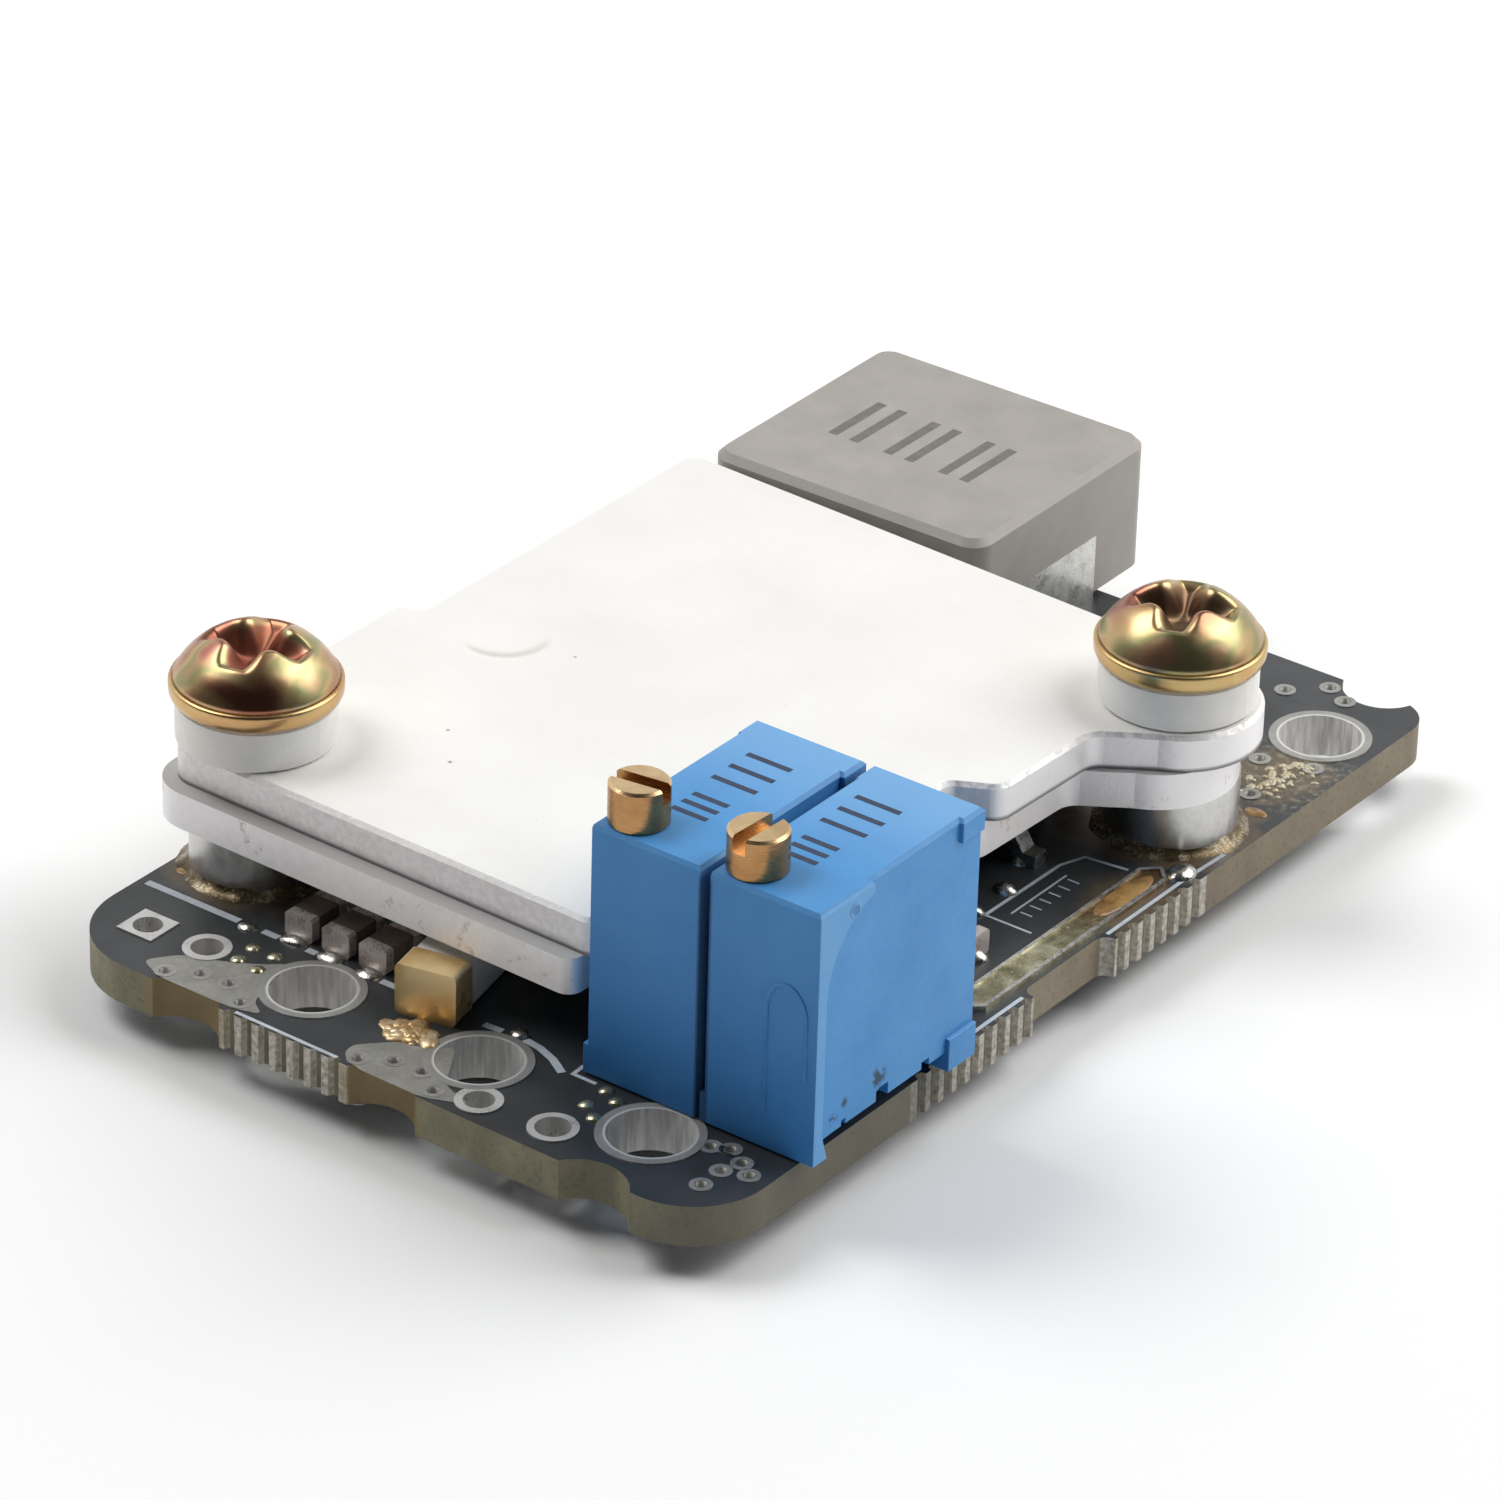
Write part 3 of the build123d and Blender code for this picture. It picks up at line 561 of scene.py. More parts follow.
# Metals: dark, middle and light colour, grain per mm, range of roughness, bump in mm, metal, stretch
METALS = {
    "foot": ((58, 48, 32), (104, 88, 62), (190, 182, 160), 1.6, (0.14, 0.34), 0.03, 0.6),
    "tinned": ((200, 199, 196), (226, 225, 222), (242, 241, 238), 0.9, (0.24, 0.42), 0.02, 0.45, (3, 3, 0.4)),
    "pad": ((140, 140, 135), (158, 157, 151), (178, 176, 170), 0.8, (0.36, 0.52), 0.008, 0.35),
    "solder": ((128, 126, 120), (186, 184, 178), (230, 229, 224), 1.4, (0.14, 0.34), 0.03),
    "amber": ((186, 138, 84), (226, 196, 148), (250, 242, 224), 1.6, (0.2, 0.4), 0.03, 0.5),
    "grit": ((168, 156, 122), (196, 188, 158), (224, 220, 200), 0.9, (0.3, 0.5), 0.02, 0.3),
    "bead": ((150, 118, 66), (178, 174, 146), (224, 224, 206), 0.7, (0.14, 0.3), 0.03, 0.8),
    "via": ((150, 150, 146), (170, 169, 165), (190, 189, 184), 1.2, (0.3, 0.45), 0.01, 0.5),
    # Via barrels: plated walls, their colour darkened as painted shade inside the holes
    "barrel": ((126, 124, 118), (146, 144, 138), (164, 162, 156), 1.2, (0.35, 0.5), 0.0, 0.4),
    "chip_end": (
        (166, 152, 146), (208, 196, 190), (238, 230, 225), 1.6, (0.22, 0.42), 0.03, 0.45, (2, 2, 0.5),
    ),
    "standoff": ((182, 181, 178), (204, 203, 200), (220, 219, 216), 0.6, (0.28, 0.38), 0.008),
    "pin": ((150, 148, 142), (190, 188, 182), (222, 220, 214), 1.5, (0.25, 0.4), 0.006),
    "lead": ((150, 150, 146), (196, 196, 192), (228, 228, 224), 1.2, (0.2, 0.4), 0.008),
    "inductor": ((158, 153, 148), (168, 163, 157), (177, 172, 167), 0.6, (0.5, 0.62), 0.012, 0.15, (1, 6, 6)),
}

# Plastics, inks and ceramics: dark and light colour, grain per mm, range of roughness, bump in mm
PLASTICS = {
    "dark_ink": ((38, 52, 78), (58, 72, 98), 2.5, (0.5, 0.65), 0.004),
    "grey_ink": ((104, 100, 97), (126, 122, 118), 2.5, (0.5, 0.65), 0.004),
    "mould": ((28, 28, 30), (48, 48, 50), 0.9, (0.5, 0.66), 0.006),
    "washer": ((234, 232, 225), (245, 243, 238), 0.7, (0.45, 0.6), 0.008),
    "ceramic": ((226, 225, 222), (246, 245, 243), 0.9, (0.4, 0.55), 0.006),
    "chip": ((96, 84, 76), (134, 118, 106), 1.2, (0.4, 0.55), 0.006),
    "capacitor": ((150, 118, 86), (182, 148, 110), 1.2, (0.4, 0.55), 0.006),
    "silicone": ((150, 152, 156), (178, 180, 184), 0.8, (0.6, 0.8), 0.01),
    "ink": ((178, 188, 198), (214, 220, 226), 1.5, (0.5, 0.65), 0.004),
}


def build_looks():
    """Every look by its short name."""
    looks = {
        "board": board_look(),
        "spreader": spreader_look(),
        "zinc": zinc_look(),
        "brass": brass_look(),
        "flux": flux_look(),
        "strip": strip_look(),
        "ring": ring_look(),
        "gold": gold_look(),
        "trimmer": trimmer_look(),
    }
    looks.update({name: metal_look(name, *values) for name, values in METALS.items()})
    looks.update({name: plastic_look(name, *values) for name, values in PLASTICS.items()})
    return looks


LOOKS = build_looks()

# The look of each carried-over solid: the first pattern that fits its name
NODE_LOOKS = {
    "circuit_board": "board",
    "terminal_ring_*": "ring",
    "wire_hole_*": "tinned",
    "standoff_*": "standoff",
    "insulating_washer_*": "washer",
    "clamp_screw_*": "zinc",
    "*_heat_spreader": "spreader",
    "trimmer_housing_*": "trimmer",
    "trimmer_pins_*": "pin",
    "adjusting_screw_*": "brass",
    "inductor_body": "inductor",
    "fuse_body": "ceramic",
    "fuse_caps": "gold",
    "bus_strip": "strip",
    "thermal_pad_*": "silicone",
    "chip_?_body": "chip",
    "chip_?_ends": "chip_end",
    "output_capacitor_?_body": "capacitor",
    "*_body*": "mould",
    "*": "lead",
}


def dress_nodes():
    """Every carried-over solid gets its look."""
    for name, node in NODES.items():
        look = next(look for pattern, look in NODE_LOOKS.items() if fnmatch(name, pattern))
        node.data.materials.clear()
        node.data.materials.append(LOOKS[look].mat)


# Piece builders

def add_object(name, data):
    """An object of the scene, made of a mesh, a curve, a lamp or a camera."""
    made = bpy.data.objects.new(name, data)
    bpy.context.scene.collection.objects.link(made)
    return made


def add_piece(name, mesh, look):
    """A piece with its look, which rides on the module."""
    mesh.name = name
    mesh.materials.clear()
    mesh.materials.append(LOOKS[look].mat)
    made = add_object(name, mesh)
    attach(made, "module")
    return made


def from_points(name, verts, faces):
    """A mesh from points in mm."""
    mesh = bpy.data.meshes.new(name)
    mesh.from_pydata([Vector(v) * MM for v in verts], [], faces)
    return mesh


def worked_out(rough):
    """The mesh of an object as its modifiers or its curve make it."""
    bpy.context.view_layer.update()
    return bpy.data.meshes.new_from_object(rough.evaluated_get(bpy.context.evaluated_depsgraph_get()))


class Heap:
    """Points and faces of several small forms that go into one piece."""

    def __init__(self):
        self.verts = []
        self.faces = []

    def add(self, verts, faces):
        first = len(self.verts)
        self.verts += verts
        self.faces += [tuple(first + i for i in face) for face in faces]

    def make(self, name, look, smooth=True):
        mesh = from_points(name, self.verts, self.faces)
        mesh.validate()
        mesh.update()
        for face in mesh.polygons:
            face.use_smooth = smooth
        return add_piece(name, mesh, look)


def angles(sides):
    """The angles of the corners of a round form."""
    return [2 * math.pi * k / sides for k in range(sides)]


def circle(x, y, r, sides):
    """Points round a centre."""
    return [(x + r * math.cos(a), y + r * math.sin(a)) for a in angles(sides)]


def band(inner, outer, sides):
    """The faces between two closed rows, each given by the index of its first point."""
    after = [(k + 1) % sides for k in range(sides)]
    return [(inner + k, outer + k, outer + after[k], inner + after[k]) for k in range(sides)]


def turned_over(faces):
    """The same faces, seen from their other side."""
    return [(face[0], *reversed(face[1:])) for face in faces]


def mound(heap, x, y, rx, ry, high, turn=0.0, base=BOARD_TOP, seed=0, flat=2.0, wave=0.10, rings=7, sides=22):
    """A drop of solder or resin: round at the foot, domed, with a slightly uneven outline."""
    rand = random.Random(seed)
    bumps = [(rand.uniform(-1, 1) * wave / k, rand.uniform(0, 2 * math.pi), k) for k in (1, 2, 3)]
    cos, sin = math.cos(math.radians(turn)), math.sin(math.radians(turn))
    verts = [(x, y, base + high)]
    for ring in range(1, rings + 1):
        t = ring / rings
        z = base + high * (1 - t ** flat) ** 0.8
        for a in angles(sides):
            r = t * (1 + sum(size * math.cos(k * a + at) for size, at, k in bumps))
            u, v = rx * r * math.cos(a), ry * r * math.sin(a)
            verts.append((x + u * cos - v * sin, y + u * sin + v * cos, z))
    last = 1 + (rings - 1) * sides
    foot = len(verts)
    verts += [(vx, vy, base - 0.02) for vx, vy, _ in verts[last:]]
    faces = [(0, 1 + side, 1 + (side + 1) % sides) for side in range(sides)]
    for ring in range(rings):
        faces += band(1 + ring * sides, 1 + (ring + 1) * sides, sides)
    faces.append(tuple(foot + side for side in reversed(range(sides))))
    heap.add(verts, faces)


def turned(heap, x, y, profile, sides):
    """A form of revolution about an upright axis from (radius, z) points."""
    verts = []
    for r, z in profile:
        verts += [(*spot, z) for spot in circle(x, y, r, sides)]
    faces = []
    for row in range(len(profile) - 1):
        faces += turned_over(band(row * sides, (row + 1) * sides, sides))
    heap.add(verts, faces)


def left_of(way):
    """The direction to the left of one in the plane."""
    return Vector((-way.y, way.x))


def ribbon(heap, points, width, low, high):
    """A flat raised line of even width along points in mm, mitred at its bends."""
    spots = [Vector(point) for point in points]
    ways = [(after - here).normalized() for here, after in zip(spots, spots[1:])]
    verts = []
    for i, here in enumerate(spots):
        side = left_of(ways[min(i, len(ways) - 1)]) * width / 2
        if 0 < i < len(ways):
            across = left_of((ways[i - 1] + ways[i]).normalized())
            side = across * width / 2 / max(0.4, across.dot(left_of(ways[i - 1])))
        for z in (low, high):
            verts += [(*(here + side), z), (*(here - side), z)]
    faces = []
    for a in range(0, 4 * len(ways), 4):
        b = a + 4
        faces += [(a + 2, b + 2, b + 3, a + 3), (a, a + 1, b + 1, b)]
        faces += [(a, b, b + 2, a + 2), (a + 1, a + 3, b + 3, b + 1)]
    end = 4 * len(ways)
    faces += [(0, 2, 3, 1), (end, end + 1, end + 3, end + 2)]
    heap.add(verts, faces)


def rounded(points, r=0.35, steps=5):
    """The closed outline with each corner cut to a short curve."""
    out = []
    count = len(points)
    for i, here in enumerate(points):
        here, before, after = Vector(here), Vector(points[i - 1]), Vector(points[(i + 1) % count])
        a = here + (before - here).normalized() * min(r, (before - here).length * 0.45)
        b = here + (after - here).normalized() * min(r, (after - here).length * 0.45)
        for k in range(steps + 1):
            t = k / steps
            p = a * (1 - t) ** 2 + here * 2 * t * (1 - t) + b * t ** 2
            out.append((p.x, p.y))
    return out


def foil(name, outlines, low, high, look):
    """A thin sheet from closed outlines in mm, in which an outline inside another is a hole."""
    curve = bpy.data.curves.new(name, "CURVE")
    curve.dimensions = "2D"
    curve.fill_mode = "BOTH"
    curve.extrude = (high - low) / 2 * MM
    for outline in outlines:
        line = curve.splines.new("POLY")
        line.points.add(len(outline) - 1)
        for point, (x, y) in zip(line.points, outline):
            point.co = (x * MM, y * MM, 0, 1)
        line.use_cyclic_u = True
    rough = add_object(name + "_line", curve)
    mesh = worked_out(rough)
    bpy.data.objects.remove(rough)
    bpy.data.curves.remove(curve)
    mesh.transform(Matrix.Translation((0, 0, (low + high) / 2 * MM)))
    add_piece(name, mesh, look)


# Board surface

VIA_R = 0.24
VIA_RIM_R = 0.42
BEAD_R = 0.31
BEAD_HIGH = 0.12
FOIL = 0.02
SILK = 0.012
LEFT_VIAS = ((-4.87, -2.28), (-3.76, -1.64), (-2.55, -1.53), (-1.42, -2.27))
RIGHT_VIAS = ((4.15, -2.54), (5.20, -1.86), (6.41, -1.81), (7.48, -2.53))
CORNER_VIAS = ((17.09, 0.64), (17.74, 0.92), (18.56, 0.45), (18.27, -0.36), (19.20, -0.01), (18.27, -1.48))
FAR_VIAS = ((16.82, 35.05), (18.78, 35.67), (17.99, 32.61), (14.63, 40.10), (15.87, 41.32), (16.91, 40.76))
VIAS = LEFT_VIAS + RIGHT_VIAS + CORNER_VIAS + FAR_VIAS
FILLED_VIAS = (
    (-3.36, -0.08), (-3.45, 0.91), (-2.40, -0.18), (-2.48, 0.90),
    (12.14, 1.25), (12.84, 0.90), (12.13, 0.08), (12.86, -0.41),
)
LEFT_PAD = (
    (-5.96, -2.20), (-5.17, -1.11), (-3.63, -0.48), (-2.48, 0.19), (-1.75, 0.85),
    (-1.1, -1.9), (-0.31, -2.40), (-1.39, -2.72), (-4.88, -2.70),
)
RIGHT_PAD = (
    (3.58, -2.67), (3.40, -1.96), (4.57, -0.75), (5.71, -0.51), (6.3, 0.2),
    (7.6, -2.0), (9.03, -2.44), (7.50, -3.10), (4.6, -3.05),
)


def make_pads():
    """The two bare pads at the notches, and the rims and walls of the open vias."""
    top = BOARD_TOP + FOIL
    for name, outline, vias in (("left", LEFT_PAD, LEFT_VIAS), ("right", RIGHT_PAD, RIGHT_VIAS)):
        holes = [circle(x, y, VIA_R, 16) for x, y in vias]
        foil("pad_foil_" + name, [rounded(outline)] + holes, BOARD_TOP, top, "pad")
    rims = []
    barrels = Heap()
    outer, inner = VIA_R + 0.02, VIA_R - 0.05
    for x, y in VIAS:
        rims += [circle(x, y, VIA_RIM_R, 20), circle(x, y, VIA_R, 16)]
        turned(barrels, x, y, [(outer, BOARD_BOTTOM), (inner, BOARD_BOTTOM), (inner, top), (outer, top)], 16)
    barrels.make("via_barrels", "barrel")
    foil("via_foil", rims, BOARD_TOP, BOARD_TOP + FOIL * 1.6, "via")
    foil("under_foil", rims, BOARD_BOTTOM - FOIL, BOARD_BOTTOM, "tinned")


def make_filled_vias():
    """Small domes of solder in the filled vias."""
    heap = Heap()
    for index, (x, y) in enumerate(FILLED_VIAS):
        mound(heap, x, y, BEAD_R, BEAD_R, BEAD_HIGH, seed=index, rings=4, sides=14)
    heap.make("filled_vias", "bead")


# Silkscreen: the points and the width of each line, and where the ticks lie
SILK_LINES = (
    (((-1.15, -2.84), (3.53, -2.93)), 0.15),
    (((-9.4, 2.0), (-5.05, 2.0)), 0.32),
    (((-3.95, 2.0), (-3.23, 2.0)), 0.3),
    (((-1.92, 2.0), (-1.47, 2.0)), 0.3),
    (((1.48, 2.0), (2.38, 2.0)), 0.3),
    (((6.11, 2.0), (6.9, 2.05)), 0.3),
    (((7.87, 2.1), (8.6, 2.0), (9.4, 1.7), (10.2, 1.2)), 0.3),
    (((10.52, 2.04), (10.55, 1.38), (11.57, 1.37)), 0.16),
    (((19.75, 12.1), (19.75, 15.4)), 0.16),
    (((19.60, 20.9), (19.60, 26.1), (19.72, 28.3)), 0.16),
    (((15.42, 19.23), (15.49, 23.87), (15.87, 24.92), (17.62, 25.14)), 0.14),
    (((15.42, 19.23), (17.45, 19.23)), 0.11),
    (((16.1, 19.9), (16.1, 23.4)), 0.08),
)
TICKS_Y = [20.2 + 0.6 * step for step in range(6)]


def make_silkscreen():
    """Printed lines, and a plain scale of ticks in the frame at the right edge."""
    heap = Heap()
    for points, width in SILK_LINES + tuple((((16.3, y), (16.8, y)), 0.07) for y in TICKS_Y):
        ribbon(heap, points, width, BOARD_TOP, BOARD_TOP + SILK)
    heap.make("silkscreen", "ink", smooth=False)


# The three chips, and the solder at both ends of each: y, the two radii, the height and the first seed
CHIP_X = (-2.6, -0.9, 0.8)
CHIP_JOINTS = ((2.12, 0.60, 0.38, 0.20, 20), (4.75, 0.62, 0.36, 0.26, 30))

# Single drops of solder: x, y, the two radii and the height
DROPS = (
    (-4.53, 1.87, 0.42, 0.34, 0.16), (7.51, 2.27, 0.45, 0.36, 0.18),
    (14.98, 19.11, 0.45, 0.4, 0.3), (16.85, 16.59, 0.5, 0.5, 0.35),
    (14.10, 23.17, 0.5, 0.4, 0.3), (14.97, 21.11, 0.5, 0.4, 0.3), (19.3, 26.2, 0.55, 0.7, 0.3),
)
FUSE_JOINT = (4.75, -0.05)
GRAINS = (18.2, 34.3)

# A solder cone: radius and depth under the board
CONE = ((0.92, 0.0), (0.9, 0.05), (0.72, 0.28), (0.52, 0.6), (0.36, 0.95), (0.24, 1.12))


def make_joints():
    """The joints of the three chips, and single drops."""
    bright = Heap()
    for index, x in enumerate(CHIP_X):
        for y, rx, ry, high, seed in CHIP_JOINTS:
            mound(bright, x, y, rx, ry, high, seed=seed + index, wave=0.2)
    for index, drop in enumerate(DROPS):
        mound(bright, *drop, seed=40 + index)
    bright.make("solder_bright", "solder")


def make_flakes():
    """Flakes of solder at the fuse, and grains by the far hole."""
    gold = Heap()
    rand = random.Random(60)
    for index in range(26):
        along, across = rand.uniform(-1.1, 1.1), rand.uniform(-0.5, 0.45)
        size = rand.uniform(0.22, 0.46)
        high = rand.uniform(0.06, 0.24) * (1.15 - abs(along) * 0.6)
        turn = rand.uniform(0, 180)
        x, y = FUSE_JOINT[0] + along, FUSE_JOINT[1] + 0.2 * along + across
        mound(gold, x, y, size * 1.4, size, high, turn, seed=61 + index, wave=0.4, rings=4, sides=12)
    gold.make("solder_fuse", "amber")
    grit = Heap()
    for index in range(60):
        along, across = rand.gauss(0, 0.9), rand.gauss(0, 0.55)
        size = rand.uniform(0.07, 0.17)
        high = rand.uniform(0.04, 0.10)
        turn = rand.uniform(0, 180)
        x, y = GRAINS[0] + min(max(across, -1.2), 1.2), GRAINS[1] + min(max(along, -1.8), 1.3)
        mound(grit, x, y, size * 1.3, size, high, turn, seed=90 + index, wave=0.4, rings=3, sides=10)
    grit.make("solder_grains", "grit")


def make_cones():
    """The soldered ends of the trimmers' pins, under the board."""
    cones = Heap()
    profile = [(r, BOARD_BOTTOM - deep) for r, deep in CONE]
    for x in TRIMMER_X:
        for step in (-PIN_STEP, 0.0, PIN_STEP):
            turned(cones, x + TRIMMER_WIDE / 2, TRIMMER_NEAR + TRIMMER_LONG / 2 + step, profile, 24)
    cones.make("solder_cones", "solder")


def foot_ring(heap, x, y, inner, outer, high, seed, sides=72, rows=6):
    """A soldered foot round a post: a hollow fillet whose height and reach wander."""
    rand = random.Random(seed)
    waves = [(rand.uniform(0.5, 1.0), rand.uniform(0, 2 * math.pi), k) for k in (2, 3, 5, 9, 14)]
    verts = []
    for a in angles(sides):
        swell = 1 + 0.10 * sum(size * math.cos(k * a + at) for size, at, k in waves)
        for row in range(rows + 1):
            t = row / rows
            r = inner + (outer - inner) * swell * t
            z = BOARD_TOP + high * swell * (1 - t) ** 1.8
            verts.append((x + r * math.cos(a), y + r * math.sin(a), z if row < rows else BOARD_TOP - 0.02))
    faces = []
    for side in range(sides):
        here, there = side * (rows + 1), (side + 1) % sides * (rows + 1)
        faces += [(here + row, here + row + 1, there + row + 1, there + row) for row in range(rows)]
    heap.add(verts, faces)


# The soldered foot of a standoff: inner and outer radius, and height
FOOT = (2.46, 2.98, 0.36)

# Resin: x, y, the two radii, the height and the level it lies on, of which the first is the bus strip's dish
RESIN = (
    (18.62, 23.3, 0.50, 1.9, 0.06, 0.13),
    (18.9, 31.6, 0.5, 0.3, 0.05, BOARD_TOP),
    (-8.9, 3.4, 0.3, 0.2, 0.05, BOARD_TOP),
)


def make_flux():
    """The soldered feet of the standoffs, and flat drops of resin."""
    feet = Heap()
    for index, (x, y, _) in enumerate(CLAMPS):
        foot_ring(feet, x, y, *FOOT, 70 + index)
    feet.make("standoff_solder", "foot")
    resin = Heap()
    for index, (x, y, rx, ry, high, base) in enumerate(RESIN):
        mound(resin, x, y, rx, ry, high, base=base, seed=80 + index, flat=4.0, sides=30)
    resin.make("flux_resin", "flux")


# Trimmers and the inductor

BOX_FACES = ((0, 1, 3, 2), (4, 6, 7, 5), (0, 4, 5, 1), (2, 3, 7, 6), (0, 2, 6, 4), (1, 5, 7, 3))


def set_back(name, x):
    """The housing's mesh, with its left side cut back above the feet."""
    mesh = NODES[name].data.copy()
    mesh.transform(NODES[name].matrix_world)
    rough = add_object(name + "_rough", mesh)
    spare = 1.0
    low = (x - spare, TRIMMER_NEAR - spare, FEET_HIGH)
    high = (x + SET_BACK, TRIMMER_NEAR + TRIMMER_LONG + spare, TRIMMER_TOP + spare)
    corners = [(a[0], b[1], c[2]) for a in (low, high) for b in (low, high) for c in (low, high)]
    tool = add_object(name + "_tool", from_points(name + "_cut", corners, BOX_FACES))
    cut = rough.modifiers.new("cut", "BOOLEAN")
    cut.operation = "DIFFERENCE"
    cut.object = tool
    cut.solver = "EXACT"
    made = worked_out(rough)
    for thing in (rough, tool):
        bpy.data.objects.remove(thing)
    return made


def make_housing(name, x):
    """A housing with its left side set back above the feet and its long edges softened."""
    made = set_back(name, x)
    solid = bmesh.new()
    solid.from_mesh(made)
    bmesh.ops.remove_doubles(solid, verts=solid.verts, dist=0.001 * MM)
    bmesh.ops.dissolve_limit(solid, angle_limit=math.radians(3), verts=solid.verts, edges=solid.edges)
    edges = [e for e in solid.edges if len(e.link_faces) == 2 and e.calc_length() > 0.55 * MM]
    sharp = [e for e in edges if e.is_convex and e.calc_face_angle() > math.radians(50)]
    soft = SOFT_EDGE * MM
    bmesh.ops.bevel(
        solid, geom=sharp, offset=soft, segments=2, profile=0.5, affect="EDGES", clamp_overlap=True,
    )
    solid.to_mesh(made)
    solid.free()
    for face in made.polygons:
        face.use_smooth = False
    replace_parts(add_piece(name + "_dressed", made, "trimmer"), name)


# Printed bars: where they lie, and on the housings the y and the half length of each
HOUSING_MARKS_X = (13.1, 17.75)
HOUSING_MARKS = ((4.35, 0.75), (4.95, 0.75), (5.55, 0.75), (6.9, 0.95), (7.9, 0.95), (8.9, 0.95))
INDUCTOR_MARKS_X = (-4.9, -3.9, -2.3, -1.3, 0.3, 1.3)

# The half-oval ridge on the near face of the right housing: its middle, its two radii and its two ends
OVAL_X = 19.37
OVAL_Z = 5.7
OVAL_WIDE = 0.83
OVAL_TALL = 1.15
OVAL_ENDS_Z = (1.6, 3.4)
RIDGE_WIDE = 0.15
RIDGE_HIGH = 0.03

# The dimple: radius and height
DIMPLE = ((0.0, -0.02), (0.14, -0.015), (0.20, 0.02), (0.25, 0.035), (0.30, 0.015), (0.33, -0.01))


def make_marks():
    """Plain printed bars on the two housings and on the inductor, and a moulded oval and dimple."""
    bars = Heap()
    for x in HOUSING_MARKS_X:
        for y, half in HOUSING_MARKS:
            ribbon(bars, [(x - half, y), (x + half, y)], 0.26, TRIMMER_TOP - 0.008, TRIMMER_TOP + 0.006)
    bars.make("housing_marks", "dark_ink", smooth=False)
    bars = Heap()
    for x in INDUCTOR_MARKS_X:
        ribbon(bars, [(x, 37.4), (x, 40.7)], 0.42, INDUCTOR_TOP - 0.01, INDUCTOR_TOP + 0.006)
    bars.make("inductor_marks", "grey_ink", smooth=False)
    moulding = Heap()
    turns = [math.pi * k / 16 for k in range(17)]
    arc = [(OVAL_X - OVAL_WIDE * math.cos(a), OVAL_Z + OVAL_TALL * math.sin(a)) for a in turns]
    path = [(OVAL_X - OVAL_WIDE, OVAL_ENDS_Z[0])] + arc + [(OVAL_X + OVAL_WIDE, OVAL_ENDS_Z[1])]
    ribbon(moulding, path, RIDGE_WIDE, -TRIMMER_NEAR, RIDGE_HIGH - TRIMMER_NEAR)
    moulding.verts = [(x, -depth, z) for x, z, depth in moulding.verts]
    dimple = Heap()
    turned(dimple, 0, 0, DIMPLE, 20)
    moulding.add([(TRIMMER_RIGHT + z, DIMPLE_Y + x, DIMPLE_Z + y) for x, y, z in dimple.verts], dimple.faces)
    moulding.make("housing_moulding", "trimmer")


# Clamp screws

HEAD_SIDES = 216
HEAD_RADII = [0.045 * k for k in range(1, 51)] + [2.25 + 0.1 * k for k in range(1, 8)] + [DOME_R]

# The ledge, the flange and the underside of the head: radius and z
FLANGE = (
    (3.04, 7.785), (3.08, 7.775), (3.13, 7.76), (3.165, 7.70), (3.17, 7.60), (3.17, 7.42),
    (3.15, 7.28), (3.10, 7.16), (3.03, 7.09), (2.95, 7.055), (2.6, HEAD_Z), (SHANK_R, HEAD_Z),
)


def recess_share(u, v):
    """0 on the plain dome and 1 inside the cross, with rounded shoulders between."""
    wing, reach, core, blend_in = 0.38, 1.85, 0.62, 0.45
    shoulder, slope = 0.52, 0.86
    inside = min(wing - abs(v), reach - abs(u))
    for other in (min(wing - abs(u), reach - abs(v)), core - math.hypot(u, v)):
        blend = max(blend_in - abs(inside - other), 0) / blend_in
        inside = max(inside, other) + blend * blend * blend_in / 4
    t = min(max((inside + shoulder) / slope, 0), 1)
    return t ** 2.2 * (3.2 - 2.2 * t)


def screw_head(heap, x, y, turn):
    """The dome with its recess turned by some degrees, and the ledge and flange under it."""
    bottom = DOME_TOP - RECESS_DEEP
    verts = [(x, y, bottom)]
    cos, sin = math.cos(math.radians(turn)), math.sin(math.radians(turn))
    for r in HEAD_RADII:
        dome = DOME_CENTRE_Z + math.sqrt(DOME_CURVE ** 2 - r * r)
        floor = bottom + 0.42 * max(r - 0.3, 0)
        for px, py in circle(0.0, 0.0, r, HEAD_SIDES):
            share = recess_share(px * cos + py * sin, -px * sin + py * cos)
            verts.append((x + px, y + py, dome - share * max(dome - floor, 0)))
    for r, z in FLANGE:
        verts += [(*spot, z) for spot in circle(x, y, r, HEAD_SIDES)]
    faces = [(0, 1 + k, 1 + (k + 1) % HEAD_SIDES) for k in range(HEAD_SIDES)]
    for row in range(len(HEAD_RADII) + len(FLANGE) - 1):
        faces += band(1 + row * HEAD_SIDES, 1 + (row + 1) * HEAD_SIDES, HEAD_SIDES)
    heap.add(verts, faces)


def screw_thread(heap, x, y):
    """The cut thread, with a short taper at its end."""
    sides, per_turn = 48, 8
    cut, taper = 0.27, 0.35
    rows = round((HEAD_Z - THREAD_END) / THREAD_PITCH) * per_turn
    verts = []
    for row in range(rows + 1):
        z = THREAD_END + (HEAD_Z - THREAD_END) * row / rows
        for k, a in enumerate(angles(sides)):
            phase = (z / THREAD_PITCH - k / sides) % 1.0
            r = SHANK_R - cut * abs(2 * phase - 1) - max(0.0, taper - (z - THREAD_END)) * 0.7
            verts.append((x + r * math.cos(a), y + r * math.sin(a), z))
    verts.append((x, y, THREAD_END))
    faces = []
    for row in range(rows):
        faces += turned_over(band(row * sides, (row + 1) * sides, sides))
    faces += [(len(verts) - 1, (k + 1) % sides, k) for k in range(sides)]
    heap.add(verts, faces)


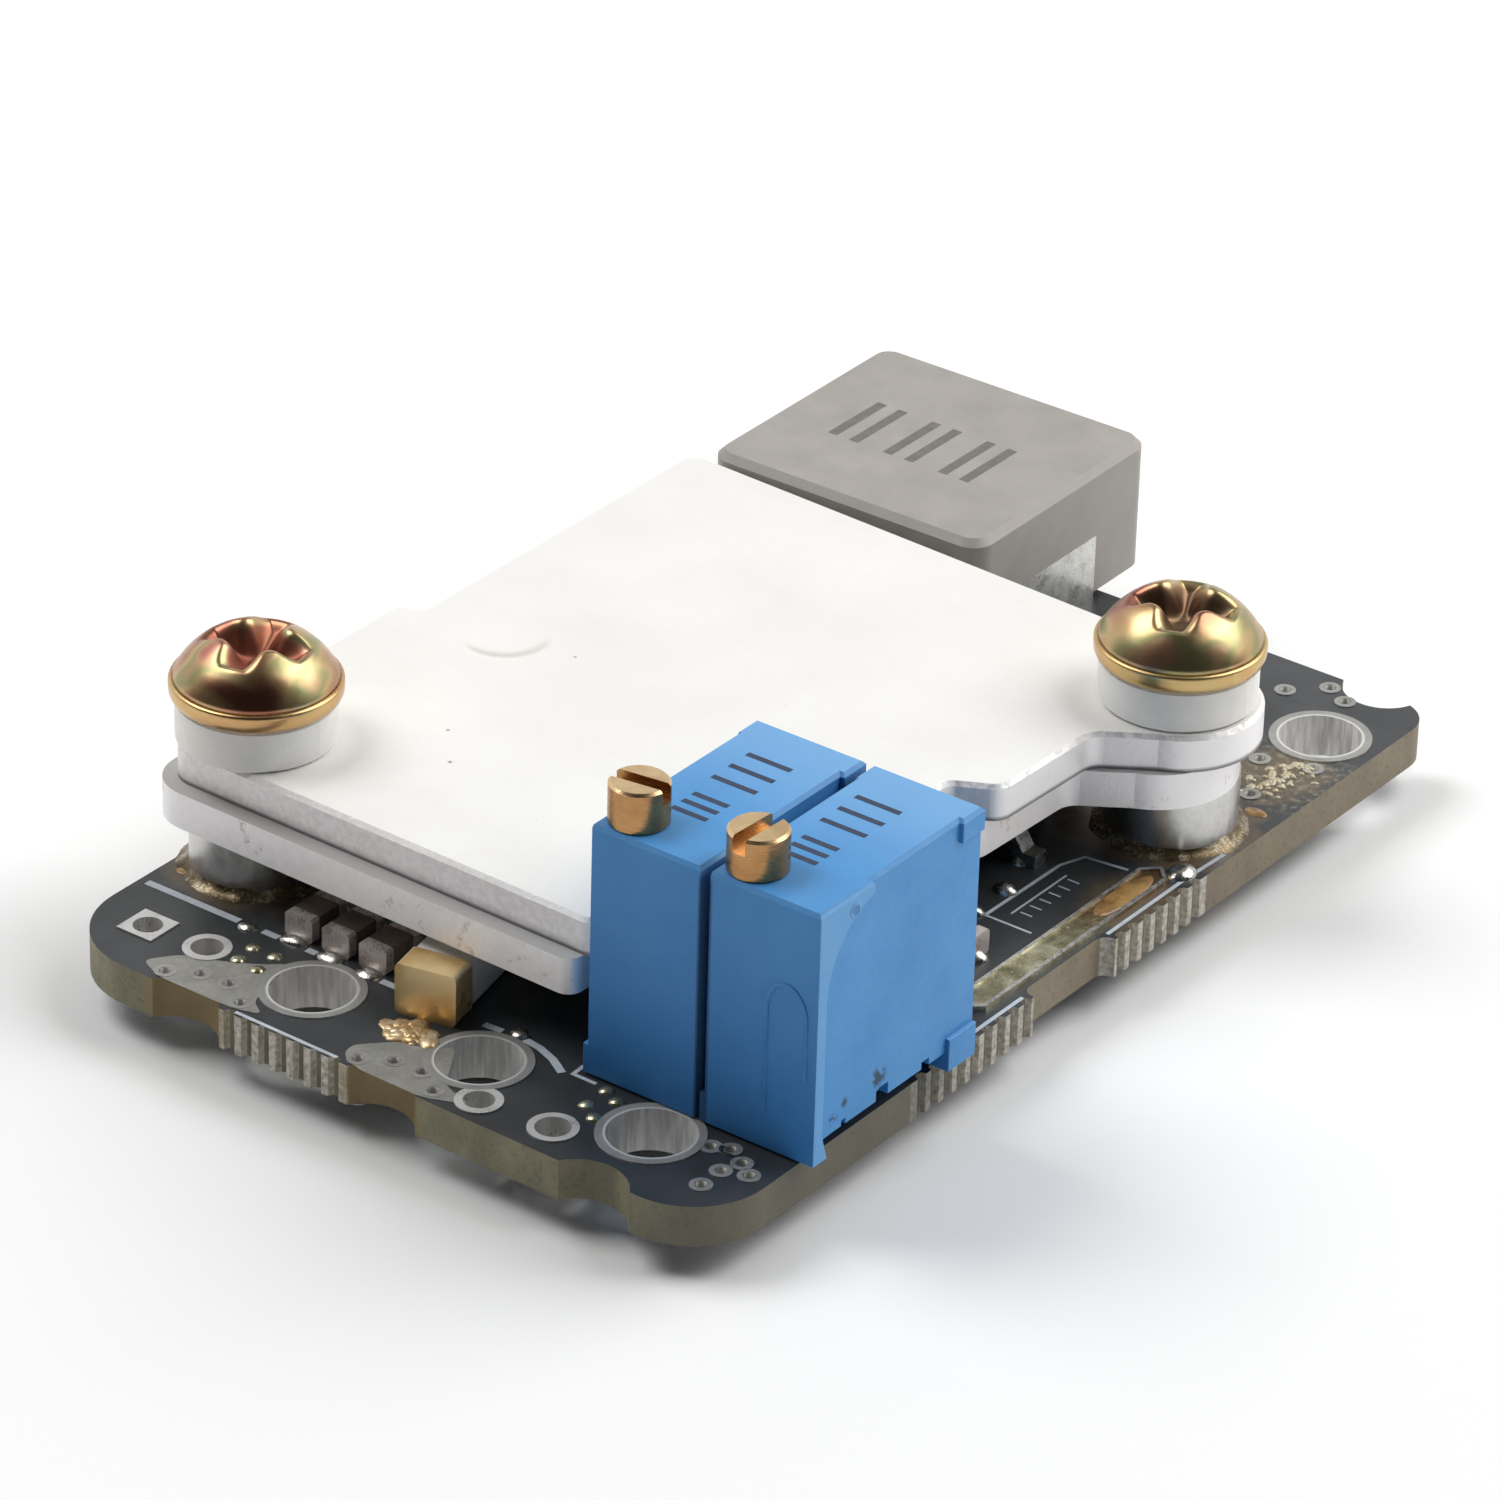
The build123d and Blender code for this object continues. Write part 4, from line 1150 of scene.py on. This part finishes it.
def make_clamp_screw(name, x, y, turn):
    """The screw with a rounded cross recess, a ledge and a flange under its dome, and a cut thread."""
    heap = Heap()
    screw_head(heap, x, y, turn)
    screw_thread(heap, x, y)
    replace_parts(heap.make(name + "_dressed", "zinc"), name)


# Studio

FLOOR_SIZE = 3.0
FLOOR_GAP = 0.00002
FLOOR_GREY = (0.975, 0.975, 0.973, 1)
FLOOR_WHITE = (0.99, 0.99, 0.988, 1)
LAMP_CENTRE = (CAD_BOX[0] + CAD_BOX[1]) / 2

# Lamps: name, the way to it, distance and size in metres, and power
LAMPS = (
    ("key", (0.39, 0.55, 0.73), 0.42, 0.32, 1.33),
    ("side", (-0.57, -0.17, 0.81), 0.45, 0.26, 1.04),
)


def make_floor():
    """A plain pale floor just under the part."""
    low = CAD_BOX[0].z - FLOOR_GAP
    corners = [(x * FLOOR_SIZE, y * FLOOR_SIZE, low) for x, y in ((-1, -1), (1, -1), (1, 1), (-1, 1))]
    mesh = bpy.data.meshes.new("floor")
    mesh.from_pydata(corners, [], [(0, 1, 2, 3)])
    look = Look("floor", rough=0.9, specular=0.0)
    look.colour(look.ramp(look.noise(0.02, 2), (0.3, FLOOR_GREY), (0.7, FLOOR_WHITE)))
    mesh.materials.append(look.mat)
    add_object("floor", mesh)


def make_lamps():
    """Two soft lamps that face the middle of the part."""
    for name, way, gap, size, power in LAMPS:
        lamp = bpy.data.lights.new(name, "AREA")
        lamp.shape = "SQUARE"
        lamp.size = size
        lamp.energy = power
        thing = add_object(name, lamp)
        way = Vector(way).normalized()
        thing.location = LAMP_CENTRE + way * gap
        thing.rotation_mode = "QUATERNION"
        thing.rotation_quaternion = way.to_track_quat("Z", "Y")


def make_sky():
    """White light low all round, stronger and higher behind the part."""
    world = bpy.data.worlds.new("studio")
    bpy.context.scene.world = world
    world.use_nodes = True
    sky = Nodes(world.node_tree)
    way = sky.nodes.new("ShaderNodeTexCoord").outputs["Generated"]
    height = sky.part("Z", way)
    behind = sky.fade(sky.measure("DOT_PRODUCT", way, (-0.50, 0.86, 0.0)), -0.30, 0.45)
    low = sky.times(sky.fade(height, 0.12, 0.40, 1.0, 0.24), sky.fade(behind, 0.0, 1.0, 0.12, 1.0))
    backdrop = sky.times(behind, sky.fade(height, 0.45, 0.72, 0.9, 0.0))
    background = sky.nodes["Background"].inputs
    sky.put(background["Strength"], sky.most(low, backdrop))
    sky.put(background["Color"], (1, 1, 1, 1))


# Camera: the angles round, above and rolled in degrees, what it looks at and how far it is in mm, its lens
VIEW_ANGLES = (35.96, 29.49, 1.64)
VIEW_AIM = (6.845, 16.374, 5.0)
VIEW_FAR = 273.8
LENS = 182.76


def make_camera():
    """The photograph's view: far away with a long lens, and slightly rolled."""
    around, above, roll = map(math.radians, VIEW_ANGLES)
    back = Vector((math.sin(around) * math.cos(above), -math.cos(around) * math.cos(above), math.sin(above)))
    right = Vector((math.cos(around), math.sin(around), 0))
    up = back.cross(right)
    wide = right * math.cos(roll) + up * math.sin(roll)
    tall = up * math.cos(roll) - right * math.sin(roll)
    spot = Vector(VIEW_AIM) * MM + back * VIEW_FAR * MM
    camera = bpy.data.cameras.new("camera")
    camera.lens = LENS
    camera.sensor_width = 36
    camera.clip_start = 0.01
    camera.clip_end = 20
    thing = add_object("camera", camera)
    thing.matrix_world = Matrix.Translation(spot) @ Matrix((wide, tall, back)).transposed().to_4x4()
    bpy.context.scene.camera = thing


dress_nodes()
make_pads()
make_filled_vias()
make_silkscreen()
make_joints()
make_flakes()
make_cones()
make_flux()
make_marks()
for number, x in enumerate(TRIMMER_X, 1):
    make_housing(f"trimmer_housing_{number}", x)
for screw, (x, y, turn) in zip(("clamp_screw_left", "clamp_screw_right"), CLAMPS):
    make_clamp_screw(screw, x, y, turn)
make_floor()
make_lamps()
make_sky()
make_camera()
bpy.context.scene.view_settings.view_transform = "Standard"
